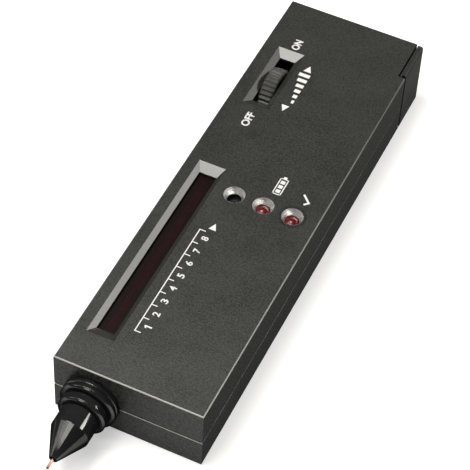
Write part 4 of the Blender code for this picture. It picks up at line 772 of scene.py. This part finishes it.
for node in ("battery_lamp", "ready_lamp"):
    low, high, middle = extent(node)
    rim_radius = high.x - middle.x
    lamp_low = low.z + lamp_stand_off
    rim_top = lamp_low + lamp_rim_height
    profile = dome(lamp_radius, high.z, 12)
    profile += [(lamp_radius, rim_top), (rim_radius, rim_top), (rim_radius, lamp_low), (0.0, lamp_low)]
    lamp = turned(f"{node}_dome", profile, Matrix.Translation((middle.x, middle.y, 0)), 48)
    finish_piece(lamp, "case", [node], [lamp_epoxy], 40)

# Buzzer
# A round sounder of black plastic under the first bezel, with a stepped lid and
# one small sound hole, on two pins in the board.
low, high, middle = extent("buzzer")
radius = (high.x - low.x) / 2

# Each point is in millimetres, out from the axis or from the rim, and up from the top.
sound_hole = ((0.0, -1.0), (1.0, -1.0), (1.0, -0.2), (1.2, 0.0))
stepped_lid = ((-0.9, 0.0), (-0.6, -0.3), (-0.2, -0.3), (0.0, -0.5))
profile = [(reach * MM, high.z + rise * MM) for reach, rise in sound_hole]
profile += [(radius + reach * MM, high.z + rise * MM) for reach, rise in stepped_lid]
profile += [(radius, low.z), (0.0, low.z)]
sounder = turned("sounder", profile, Matrix.Translation((middle.x, middle.y, 0)), 64)
finish_piece(sounder, "case", ["buzzer"], [chip_plastic])

# Volume control
# A switched potentiometer on the board's arm: a folded metal can, whose three
# tags are soldered to the board, round a spindle that the wheel is screwed to.
folded_steel = moulded(
    "folded_steel", (0.42, 0.42, 0.40), (0.56, 0.56, 0.53),
    scale=1100, depth=0.004 * MM, roughness=(0.3, 0.42), metallic=1.0,
)
turned_steel = moulded(
    "turned_steel", (0.50, 0.50, 0.50), (0.62, 0.62, 0.61),
    scale=1800, depth=0.002 * MM, roughness=(0.2, 0.3), metallic=1.0,
)


def smoothed(node, name, body, material):
    """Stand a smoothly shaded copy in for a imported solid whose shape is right."""
    piece = merged_copy(node, name)
    finish_piece(piece, body, [node], [material], 35)
    return piece


smoothed("volume_control", "volume_can", "case", folded_steel)
smoothed("wheel_spindle", "turned_spindle", "wheel", turned_steel)

# Thumbwheel
# A ribbed black wheel, turned by the thumb through the recess. Its rim is
# chamfered and its faces are dished, and a screw holds its hub to the spindle.
low, high, axle = extent("thumbwheel")
wheel_radius = 8.0 * MM
wheel_width = high.x - low.x
wheel_chamfer = 0.4 * MM
wheel_ribs = 34
rib_depth_shares = (0.0, 0.1, 0.45, 0.9, 1.0, 0.9, 0.45, 0.1)
rib_steps = len(rib_depth_shares)
rib_depth = 0.45 * MM
rim_thickness = 1.1 * MM
rim_reach = wheel_radius - wheel_chamfer - 0.1 * MM
dish_depth = 0.5 * MM
dish_slope = 0.3 * MM
hub_radius = 3.3 * MM
hub_top = hub_radius - dish_slope
dish_floor = wheel_radius - wheel_chamfer - rim_thickness - dish_slope
pocket_radius = 2.6 * MM
pocket_depth = 1.3 * MM
bore_radius = 1.8 * MM


def is_wheel_end(face, sides=(-1, 1)):
    """Tell whether a face is the whole flat middle of one of the wheel's ends."""
    return len(face.verts) > rib_steps and any(face.normal.x * side > mostly for side in sides)


def rib_step(corner):
    """Return how many steps past the top of its rib a corner of the rim stands."""
    offset = corner.co - axle
    if math.hypot(offset.y, offset.z) < rim_reach:
        return None
    return round(math.atan2(offset.z, offset.y) / (2 * math.pi) * wheel_ribs * rib_steps) % rib_steps


start_clean()
bpy.ops.mesh.primitive_cylinder_add(
    vertices=wheel_ribs * rib_steps, radius=wheel_radius, depth=wheel_width - 2 * wheel_chamfer,
    location=axle, rotation=(0, math.pi / 2, 0),
)
thumbwheel = bpy.context.object
thumbwheel.name = thumbwheel.data.name = "ribbed_wheel"
bpy.ops.object.transform_apply(location=True, rotation=True, scale=True)
bpy.ops.object.mode_set(mode="EDIT")
for thickness, depth in (
    (wheel_chamfer, wheel_chamfer), (rim_thickness, 0.0), (dish_slope, -dish_depth),
    (dish_floor - hub_radius, 0.0), (dish_slope, dish_depth),
):
    choose(thumbwheel, "FACE", is_wheel_end)
    bpy.ops.mesh.inset(thickness=thickness, depth=depth, use_individual=True)
choose(thumbwheel, "FACE", lambda face: is_wheel_end(face, (1,)))
bpy.ops.mesh.inset(thickness=hub_top - pocket_radius, use_individual=True)
bpy.ops.mesh.extrude_region_move(TRANSFORM_OT_translate={"value": (-pocket_depth, 0, 0)})
bpy.ops.mesh.inset(thickness=pocket_radius - bore_radius, use_individual=True)
choose(thumbwheel, "FACE", lambda face: is_wheel_end(face, (-1,)))
bpy.ops.mesh.inset(thickness=hub_top - bore_radius, use_individual=True)
choose(thumbwheel, "FACE", is_wheel_end)
bpy.ops.mesh.bridge_edge_loops()
for step, depth_share in enumerate(rib_depth_shares):
    choose(thumbwheel, "VERT", lambda corner: rib_step(corner) == step)
    share = 1 - rib_depth * depth_share / wheel_radius
    bpy.ops.transform.resize(value=(1, share, share), center_override=axle)
wheel_plastic = moulded(
    "wheel_plastic", (0.030, 0.030, 0.028), (0.048, 0.048, 0.045),
    scale=2600, depth=0.006 * MM, roughness=(0.3, 0.4),
)
gloss_by_angle(wheel_plastic, 0.25, 1.0, 0.2, 0.5)
finish_piece(thumbwheel, "wheel", ["thumbwheel"], [wheel_plastic], 42)

# Screws
# Cross-head screws with rolled threads: four hold the case together from below, two
# hold the board from above, and a short one holds the wheel on its spindle.
screw_steel = moulded(
    "screw_steel", (0.44, 0.44, 0.43), (0.60, 0.60, 0.58),
    scale=1600, depth=0.003 * MM, roughness=(0.24, 0.36), metallic=1.0,
)
thread_pitch = 0.8 * MM
thread_depth_share = 0.18
point_height = 0.2 * MM
cross_width = 0.7 * MM
cross_depth = 0.75 * MM
cross_length_share = 0.6

# Each point is a share of the head's radius and a share of its height.
head_shares = ((0.0, 1.0), (0.55, 1.0), (0.85, 0.88), (0.97, 0.6), (1.0, 0.25), (1.0, 0.0))

# Each screw's head radius and height, the radius of its shank, and its length.
case_screw_sizes = (2.3 * MM, 1.6 * MM, 1.25 * MM, 11.5 * MM)
board_screw_sizes = (1.8 * MM, 1.3 * MM, 1.0 * MM, 4.7 * MM)
wheel_screw_sizes = (2.1 * MM, 0.9 * MM, 0.7 * MM, 3.0 * MM)


def cross_screw(node, name, body, sizes, turn):
    """Model a cross-head screw, head up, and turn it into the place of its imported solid."""
    head_radius, head_height, shank_radius, length = sizes
    profile = [(head_radius * reach, head_height * rise) for reach, rise in head_shares]
    profile.append((shank_radius, 0.0))
    root = shank_radius * (1 - thread_depth_share)
    for number in range(int((length - 1.5 * thread_pitch) / thread_pitch)):
        top = -thread_pitch * (number + 0.5)
        profile += [(root, top), (shank_radius, top - thread_pitch / 2), (root, top - thread_pitch)]
    profile += [(root * 0.7, point_height - length), (root * 0.3, -length), (0.0, -length)]
    screw = turned(name, profile, Matrix.Identity(4), 32)
    for number in range(2):
        reach = head_radius * cross_length_share
        slot = block(
            "slot", (-reach, -cross_width / 2, head_height - cross_depth),
            (reach, cross_width / 2, head_height + MM),
        )
        choose(slot, "VERT", lambda corner: corner.co.z < head_height)
        bpy.ops.transform.resize(value=(0.5, 0.8, 1), center_override=(0, 0, 0))
        slot.matrix_world = Matrix.Rotation(number * math.pi / 2, 4, "Z")
        run_boolean(screw, slot, "DIFFERENCE")
    pick(screw)
    low, high, middle = extent(node)
    facing = turn.to_3x3() @ Vector((0, 0, 1))
    reach = abs(facing.dot(high - low)) / 2 - head_height
    screw.matrix_world = Matrix.Translation(middle + facing * reach) @ turn
    bpy.ops.object.transform_apply(location=True, rotation=True, scale=True)
    finish_piece(screw, body, [node], [screw_steel])


upside_down = Matrix.Rotation(math.pi, 4, "X")
for number in range(1, 5):
    cross_screw(f"case_screw_{number}", f"long_screw_{number}", "case", case_screw_sizes, upside_down)
for number in range(1, 3):
    cross_screw(
        f"board_screw_{number}", f"short_screw_{number}", "case", board_screw_sizes, Matrix.Identity(4)
    )
cross_screw("wheel_screw", "hub_screw", "wheel", wheel_screw_sizes, lying)

# Probe
# A copper pin in a ceramic carrier that holds its heater, pressed forwards by a
# spring in a brass tube. Two insulated leads run from the tube to the board.
pin_radius = 0.4 * MM
pin_shank_radius = 0.9 * MM
pin_shoulder = 19.8 * MM
pin_chamfer = 0.1 * MM
nose_middle = extent("nose_flange")[2]
nose_x = nose_middle.x
nose_z = nose_middle.z
nose_front = Matrix.Translation((nose_x, -case_half_length, nose_z)) @ Matrix.Rotation(math.pi / 2, 4, "X")
pin_low, pin_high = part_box("probe_pin")
pin_rear = -case_half_length - pin_high.y
pin_profile = dome(pin_radius, -case_half_length - pin_low.y, 6) + [
    (pin_radius, pin_shoulder + pin_chamfer),
    (pin_radius + pin_chamfer, pin_shoulder),
    (pin_shank_radius - pin_chamfer, pin_shoulder),
    (pin_shank_radius, pin_shoulder - pin_chamfer),
    (pin_shank_radius, pin_rear),
    (0.0, pin_rear),
]
copper_pin = turned("copper_pin", pin_profile, nose_front, 40)
copper = moulded(
    "copper", (0.66, 0.33, 0.24), (0.80, 0.45, 0.34),
    scale=1500, depth=0.003 * MM, roughness=(0.24, 0.34), metallic=1.0,
)
tip_stain = fade(copper, pin_low.y + 1.6 * MM, pin_low.y + 0.3 * MM)
overlay(copper, (0.16, 0.09, 0.08), tip_stain, "Mask")
finish_piece(copper_pin, "pin", ["probe_pin"], [copper])

ceramic = moulded(
    "ceramic", (0.56, 0.50, 0.40), (0.68, 0.62, 0.51),
    scale=2200, depth=0.006 * MM, roughness=(0.42, 0.56),
)
smoothed("pin_carrier", "ceramic_carrier", "pin", ceramic)
spring_steel = moulded(
    "spring_steel", (0.40, 0.40, 0.41), (0.55, 0.55, 0.56),
    scale=2000, depth=0.002 * MM, roughness=(0.22, 0.32), metallic=1.0,
)
wound_spring = smoothed("return_spring", "wound_spring", "case", spring_steel)
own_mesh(wound_spring)
brass = moulded(
    "brass", (0.62, 0.44, 0.16), (0.76, 0.56, 0.24),
    scale=1300, depth=0.003 * MM, roughness=(0.22, 0.34), metallic=1.0,
)
smoothed("probe_tube", "brass_tube", "case", brass)
red_insulation = moulded(
    "red_insulation", (0.30, 0.010, 0.010), (0.42, 0.018, 0.015),
    scale=900, depth=0.004 * MM, roughness=(0.34, 0.46),
)
black_insulation = moulded(
    "black_insulation", (0.010, 0.010, 0.010), (0.020, 0.020, 0.020),
    scale=900, depth=0.004 * MM, roughness=(0.34, 0.46),
)
for node in ("probe_lead_1", "probe_lead_2", "battery_lead_red"):
    smoothed(node, f"{node}_wire", "case", red_insulation)
smoothed("battery_lead_black", "battery_lead_black_wire", "case", black_insulation)

# Nose
# A ribbed flange against the front face, a collar and a long cone, all turned
# from glossy black plastic and pushed over each other round the brass tube.
glossy_plastic = moulded(
    "glossy_nose_plastic", (0.010, 0.010, 0.011), (0.016, 0.016, 0.017),
    scale=300, depth=0.001 * MM, roughness=(0.07, 0.12),
)
gloss_by_angle(glossy_plastic, 0.55, 0.0, 0.28, 0.5)

# Each point is in millimetres from the nose's axis, and forwards from the front face.
flange_outline = (
    (5.1, 3.4), (7.6, 3.4), (8.1, 2.9), (8.1, 1.95), (7.6, 1.7), (8.1, 1.45), (8.1, 0.3),
    (6.3, 0.3), (6.3, -2.1), (7.5, -2.1), (7.5, -3.6), (5.1, -3.6), (5.1, 3.4),
)
collar_outline = ((5.1, 6.6), (6.45, 6.6), (6.9, 6.15), (6.9, 4.15), (6.45, 3.7), (5.1, 3.7), (5.1, 6.6))
cone_outline = (
    (0.7, 21.4), (1.2, 21.4), (5.4, 12.6), (5.4, 6.9), (4.8, 6.9), (4.8, -1.0),
    (3.3, -1.0), (3.3, 12.6), (2.5, 12.6), (1.2, 19.0), (0.7, 20.1), (0.7, 21.4),
)
for node, name, outline, soften in (
    ("nose_flange", "flange_ring", flange_outline, 0.1 * MM),
    ("nose_collar", "collar_ring", collar_outline, 0.1 * MM),
    ("nose_cone", "cone_body", cone_outline, 0.12 * MM),
):
    profile = [(reach * MM, along * MM) for reach, along in outline]
    ring = turned(name, profile, nose_front, 96, soften)
    finish_piece(ring, "case", [node], [glossy_plastic])

# Battery and its connector
# A nine volt block in a plain printed steel jacket, with a smaller and a larger
# stud on its front end, which the vinyl snap connector is pressed on.
jacket_steel = moulded(
    "jacket_steel", (0.030, 0.030, 0.034), (0.040, 0.040, 0.044),
    scale=400, depth=0.001 * MM, roughness=(0.2, 0.28), metallic=0.3,
)
jacket_band = moulded(
    "jacket_band", (0.52, 0.25, 0.10), (0.60, 0.30, 0.13),
    scale=400, depth=0.001 * MM, roughness=(0.22, 0.3), metallic=0.9,
)
battery_low, battery_high, battery_middle = extent("battery")
jacket_length = 46.0 * MM
jacket_round = 2.0 * MM
crimp = 0.5 * MM
band_length = 11.5 * MM
battery_front = battery_high.y - jacket_length
band_front = battery_front + band_length
stud_spacing = 12.7 * MM
stud_reach = crimp + 2.7 * MM
jacket = block("battery_block", (battery_low.x, battery_front, battery_low.z), battery_high)
bevel(jacket, jacket_round, 6, lambda edge: abs(ends(edge)[0].y - ends(edge)[1].y) > MM)
choose(jacket, "FACE", lambda face: abs(face.normal.y) > mostly)
bpy.ops.mesh.inset(thickness=crimp, depth=0, use_individual=True)
bpy.ops.mesh.inset(thickness=crimp / 2, depth=-crimp, use_individual=True)
bpy.ops.mesh.select_all(action="SELECT")
bpy.ops.mesh.bisect(plane_co=(0, band_front, 0), plane_no=(0, 1, 0))
stud_pieces = [jacket]
for side, stud_radius in ((-1, 2.6 * MM), (1, 2.9 * MM)):
    x = battery_middle.x + side * stud_spacing / 2
    place = Matrix.Translation((x, battery_front + crimp, battery_middle.z))
    stud_pieces.append(turned("stud", [
        (0.0, stud_reach - 0.9 * MM),
        (stud_radius * 0.55, stud_reach - 0.9 * MM),
        (stud_radius * 0.6, stud_reach),
        (stud_radius * 0.9, stud_reach),
        (stud_radius, stud_reach - 0.5 * MM),
        (stud_radius * 0.85, 0.4 * MM),
        (stud_radius, 0.0),
        (0.0, 0.0),
    ], place @ Matrix.Rotation(math.pi / 2, 4, "X"), 32))
battery_block = join_pieces(stud_pieces, "battery_block")
finish_piece(
    battery_block, "case", ["battery"],
    [jacket_steel, jacket_band, can_metal, chip_plastic], 35,
)
paint(battery_block, jacket_band, lambda face: face.center.y < band_front)
paint(battery_block, chip_plastic, lambda face: abs(face.normal.y) > mostly)
paint(battery_block, can_metal, lambda face: face.center.y < battery_front - nearness or (
    abs(face.normal.y) > mostly and face.center.y > battery_high.y - 2 * crimp
))

connector_vinyl = moulded(
    "connector_vinyl", (0.012, 0.012, 0.012), (0.022, 0.022, 0.022),
    scale=1400, depth=0.006 * MM, roughness=(0.42, 0.54),
)
smoothed("snap_connector", "vinyl_connector", "case", connector_vinyl)

# Upper shell of the case
# The same plastic, with the window and wheel openings sunk in four polished slopes
# each. It closes on the lower shell over a lip, and four screws hold the two together.
slope_reach = 1.5 * MM
slope_least = 0.3
slope_most = 0.98
bezel_nodes = ("sound_bezel", "battery_lamp_bezel", "ready_lamp_bezel")
bezel_places = [
    [round(side, micrometre_digits) for side in extent(node)[2].xy] for node in bezel_nodes
]
bezel_radius = 3.06 * MM
bezel_seat_depth = 0.8 * MM
bore_cover_radius = 3.75 * MM

case_top = merged_copy("upper_shell", "case_top")
run_boolean(case_top, rounded_case("top_tool", case_height, case_height, edge_round), "INTERSECT")
seat_low = case_height - bezel_seat_depth
seat_profile = [
    (bezel_radius, case_height), (bore_cover_radius, case_height),
    (bore_cover_radius, seat_low), (bezel_radius, seat_low), (bezel_radius, case_height),
]
for x, y in bezel_places:
    seat = turned("bezel_seat", seat_profile, Matrix.Translation((x, y, 0)), 64)
    run_boolean(case_top, seat, "UNION")
round_seam(case_top, seam_high, seam_round / 2, 1)
finish_piece(
    case_top, "case", ["upper_shell"],
    [matte_plastic, rubbed_and_highlit_plastic, polished_plastic], shell_angle,
)
# The rounded top edges get the lighter rubbed plastic, which is partly wear and partly painted highlight.
paint(case_top, rubbed_and_highlit_plastic, is_rubbed)
paint(case_top, polished_plastic, lambda face: (
    slope_least < face.normal.z < slope_most and face.center.z > case_height - slope_reach
    and abs(face.center.x) < case_half_width - MM and abs(face.center.y) < case_half_length - MM
))

# Display filter
# A strip of dark red acrylic under the window, clear enough to show the lights when
# they are on and nearly black when they are off.
filter_round = 0.12 * MM
filter_lens = block("filter_lens", *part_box("display_filter"))
bpy.ops.mesh.select_all(action="SELECT")
bpy.ops.mesh.bevel(offset=filter_round, segments=2, affect="EDGES")
filter_acrylic = moulded(
    "filter_acrylic", (0.16, 0.035, 0.035), (0.21, 0.045, 0.045),
    scale=700, depth=0.001 * MM, roughness=(0.06, 0.1),
)
acrylic = filter_acrylic.node_tree.nodes["Principled BSDF"]
acrylic.inputs["Coat Weight"].default_value = 0.3
acrylic.inputs["Coat Roughness"].default_value = 0.35
acrylic.inputs["Transmission Weight"].default_value = 0.98
acrylic.inputs["IOR"].default_value = 1.49
finish_piece(filter_lens, "case", ["display_filter"], [filter_acrylic], 50)

# Bezels
# Three turned silver cones pressed into the top face, with the fine rings that the
# tool left. The first one opens on the buzzer, and a lamp stands in each other one.
bezel_hole = 2.0 * MM
bezel_depth = 2.0 * MM
bezel_cone_depth = 1.9 * MM
bezel_skirt = 3.3 * MM
bezel_skirt_height = 0.9 * MM
bezel_mouth = bezel_radius - 0.05 * MM
bezel_rings = 7
ring_depth = 0.0025 * MM
bezel_profile = [
    (bezel_hole, 0.0),
    (bezel_skirt, 0.0),
    (bezel_skirt, bezel_skirt_height),
    (bezel_radius, bezel_skirt_height),
    (bezel_radius, bezel_depth),
    (bezel_mouth, bezel_depth),
]
for step in range(1, 2 * bezel_rings):
    share = step / (2 * bezel_rings)
    radius = bezel_mouth - (bezel_mouth - bezel_hole) * share
    ripple = ring_depth * (step % 2 * 2 - 1)
    bezel_profile.append((radius - ripple, bezel_depth - bezel_cone_depth * share))
bezel_profile += [(bezel_hole, bezel_depth - bezel_cone_depth), (bezel_hole, 0.0)]
bezel_metal = moulded(
    "bezel_metal", (0.72, 0.72, 0.71), (0.82, 0.82, 0.81),
    scale=900, depth=0.001 * MM, roughness=(0.32, 0.38), metallic=1.0,
)
for node, (x, y) in zip(bezel_nodes, bezel_places):
    place = Matrix.Translation((x, y, case_height - bezel_depth))
    bezel = turned(node.replace("bezel", "bezel_ring"), bezel_profile, place, 72)
    finish_piece(bezel, "case", [node], [bezel_metal], 40)

# Printed marks
# White ink on the top face: the scale beside the lights with its numbers, ON and OFF
# at the wheel, a ramp for the volume, and a sign beside each lamp. Their places are
# in millimetres, X from the middle of the case and Y back from its front face.
ink_height = 0.02 * MM
ink_base = case_height + 0.005 * MM
ink_bits = []


def on_top(x, y):
    """Return the place of a mark on the top face."""
    return x * MM, y * MM - case_half_length, ink_base


def flat_ink(outline):
    """Lay one flat shape of ink, given by its corners."""
    mesh = bpy.data.meshes.new("ink")
    mesh.from_pydata([on_top(x, y) for x, y in outline], [], [tuple(range(len(outline)))])
    bit = bpy.data.objects.new("ink", mesh)
    bpy.context.scene.collection.objects.link(bit)
    ink_bits.append(bit)


def bar_ink(x0, y0, x1, y1):
    """Lay a straight bar of ink between two corners."""
    flat_ink([(x0, y0), (x1, y0), (x1, y1), (x0, y1)])


def text_ink(text, low, high, weight):
    """Lay letters that read along +Y, stretched to fill the place between two corners."""
    start_clean()
    bpy.ops.object.text_add()
    bit = bpy.context.object
    bit.data.body = text
    bit.data.offset = weight
    bit.data.resolution_u = 6
    bpy.ops.object.convert(target="MESH")
    corners = [corner.co.copy() for corner in bit.data.vertices]
    left, right = min(corner.x for corner in corners), max(corner.x for corner in corners)
    foot, head = min(corner.y for corner in corners), max(corner.y for corner in corners)
    for corner in bit.data.vertices:
        along = (corner.co.x - left) / (right - left)
        across = (corner.co.y - foot) / (head - foot)
        corner.co = on_top(high[0] + (low[0] - high[0]) * across, low[1] + (high[1] - low[1]) * along)
    ink_bits.append(bit)


line_width = 0.3
scale_x = -6.5
scale_start = 17.0
tick_pitch = 4.89
tick_count = 9
tick_end_x = scale_x + 1.6
scale_end = scale_start + tick_pitch * (tick_count - 1)
bar_ink(scale_x - line_width, scale_start - line_width / 2, scale_x, scale_end + line_width / 2)
for number in range(tick_count):
    y = scale_start + tick_pitch * number
    bar_ink(scale_x, y - line_width / 2, tick_end_x, y + line_width / 2)
digit_top = -5.05
digit_foot = -2.95
digit_half = 0.72
for number in range(1, tick_count):
    y = scale_start + tick_pitch * (number - 0.5)
    if number == 1:
        bar_ink(digit_top, y - 0.05, digit_foot, y + 0.42)
        flat_ink([
            (digit_top, y - 0.05), (digit_top + 0.35, y - 0.5),
            (digit_top + 0.75, y - 0.5), (digit_top + 0.55, y - 0.05),
        ])
    else:
        text_ink(str(number), (digit_top, y - digit_half), (digit_foot, y + digit_half), 0.03)
flat_ink([(-4.7, 57.4), (-2.5, 57.4), (-3.6, 59.8)])
text_ink("ON", (-13.6, 132.1), (-11.1, 136.4), 0.04)
text_ink("OFF", (-13.8, 97.0), (-11.3, 102.7), 0.036)
flat_ink([(-6.4, 109.9), (-5.2, 107.4), (-4.0, 109.9)])
flat_ink([(-6.4, 125.2), (-4.0, 125.2), (-5.2, 127.8)])
ramp_x = -3.6
ramp_start = 111.4
ramp_bars = 6
ramp_pitch = 2.3
ramp_bar_width = 1.3
ramp_low = 0.8
ramp_high = 3.4
for number in range(ramp_bars):
    y = ramp_start + number * ramp_pitch
    rise = ramp_low + (ramp_high - ramp_low) * number / (ramp_bars - 1)
    bar_ink(ramp_x - rise, y, ramp_x, y + ramp_bar_width)

sign_line = 0.32
sign_left = 5.2
sign_right = 7.8
sign_front = 77.2
sign_back = 83.6
bar_ink(sign_left, sign_front, sign_left + sign_line, sign_back)
bar_ink(sign_right - sign_line, sign_front, sign_right, sign_back)
bar_ink(sign_left, sign_front, sign_right, sign_front + sign_line)
bar_ink(sign_left, sign_back - sign_line, sign_right, sign_back)
bar_ink(sign_left + 0.8, sign_back, sign_right - 0.8, sign_back + 0.7)
for number in range(3):
    y = sign_front + 0.75 + 1.75 * number
    bar_ink(sign_left + 0.65, y, sign_right - 0.65, y + 1.25)
check_foot = 16.4
check_start = 77.0
flat_ink([
    (check_foot - rise, check_start + along)
    for along, rise in ((0, 1.3), (1.3, 0), (3.9, 2.6), (3.48, 3.02), (1.3, 0.84), (0.42, 1.72))
])

top_print = join_pieces(ink_bits, "top_print")
bpy.ops.object.mode_set(mode="EDIT")
bpy.ops.mesh.select_all(action="SELECT")
bpy.ops.mesh.normals_make_consistent(inside=False)
bpy.ops.object.mode_set(mode="OBJECT")
thicken = top_print.modifiers.new("thicken", "SOLIDIFY")
thicken.thickness = ink_height
thicken.offset = 1.0
bpy.ops.object.modifier_apply(modifier=thicken.name)
white_ink = moulded(
    "white_ink", (0.72, 0.72, 0.71), (0.78, 0.78, 0.77),
    scale=2500, depth=0.002 * MM, roughness=(0.45, 0.55),
)
finish_piece(top_print, "case", [], [white_ink], angle=0)

# Battery cover
# It slides off rearwards, and is the bay's floor and rear wall and the right cheek of
# the case. Its corners are more rounded than the case's, and a joint parts its
# cheek from the shell. The joint's far wall is painted near black as painted shade.
cover_plastic = moulded(
    "cover_plastic", (0.008, 0.008, 0.008), (0.030, 0.031, 0.030),
    scale=2600, depth=0.014 * MM, roughness=(0.44, 0.5),
)
gloss_by_angle(cover_plastic, 0.45, 0.008)
# Painted shade: a near black, dull plastic for the cheek's wall inside the joint, where shade falls.
joint_painted_shade_plastic = moulded(
    "joint_painted_shade_plastic", (0.002, 0.002, 0.002), (0.005, 0.005, 0.005),
    scale=2600, depth=0.01 * MM, roughness=(0.6, 0.7),
)
joint_painted_shade_plastic.node_tree.nodes["Principled BSDF"].inputs["Specular IOR Level"].default_value = 0.1
cover_round = 0.9 * MM
joint_gap = 0.7 * MM
joint_depth = 1.2 * MM
cheek_start_x = 20 * MM
cheek_start_z = 5 * MM
slide_cover = merged_copy("battery_cover", "slide_cover")
cover_tool = block(
    "cover_tool", (-case_half_width, -case_half_length, 0), (case_half_width, case_half_length, case_height)
)
bevel(cover_tool, cover_round, edge_steps, lambda edge: any((
    all(end.x > 0 and end.y > 0 for end in ends(edge)),
    all(end.y > 0 and end.z > MM for end in ends(edge)),
    all(end.x > 0 and end.z > MM for end in ends(edge)),
)))
bevel(cover_tool, edge_round, 3, lambda edge: all(at(end.z, 0) for end in ends(edge)))
run_boolean(slide_cover, cover_tool, "INTERSECT")
cheek_front = min(
    corner.co.y for corner in slide_cover.data.vertices
    if corner.co.x > cheek_start_x and corner.co.z > cheek_start_z
)
joint_cut = block(
    "joint_cut", (case_half_width - joint_depth, cheek_front - MM, -MM),
    (case_half_width + MM, cheek_front + joint_gap, case_height + MM),
)
run_boolean(slide_cover, joint_cut, "DIFFERENCE")
finish_piece(
    slide_cover, "cover", ["battery_cover"], [cover_plastic, joint_painted_shade_plastic], shell_angle
)
# Painted shade: the cheek's front wall inside the joint gets the near black plastic.
paint(slide_cover, joint_painted_shade_plastic, lambda face: (
    face.normal.y < -mostly and face.center.y < cheek_front + 2 * joint_gap
    and case_half_width - joint_depth - nearness < face.center.x < case_half_width
))
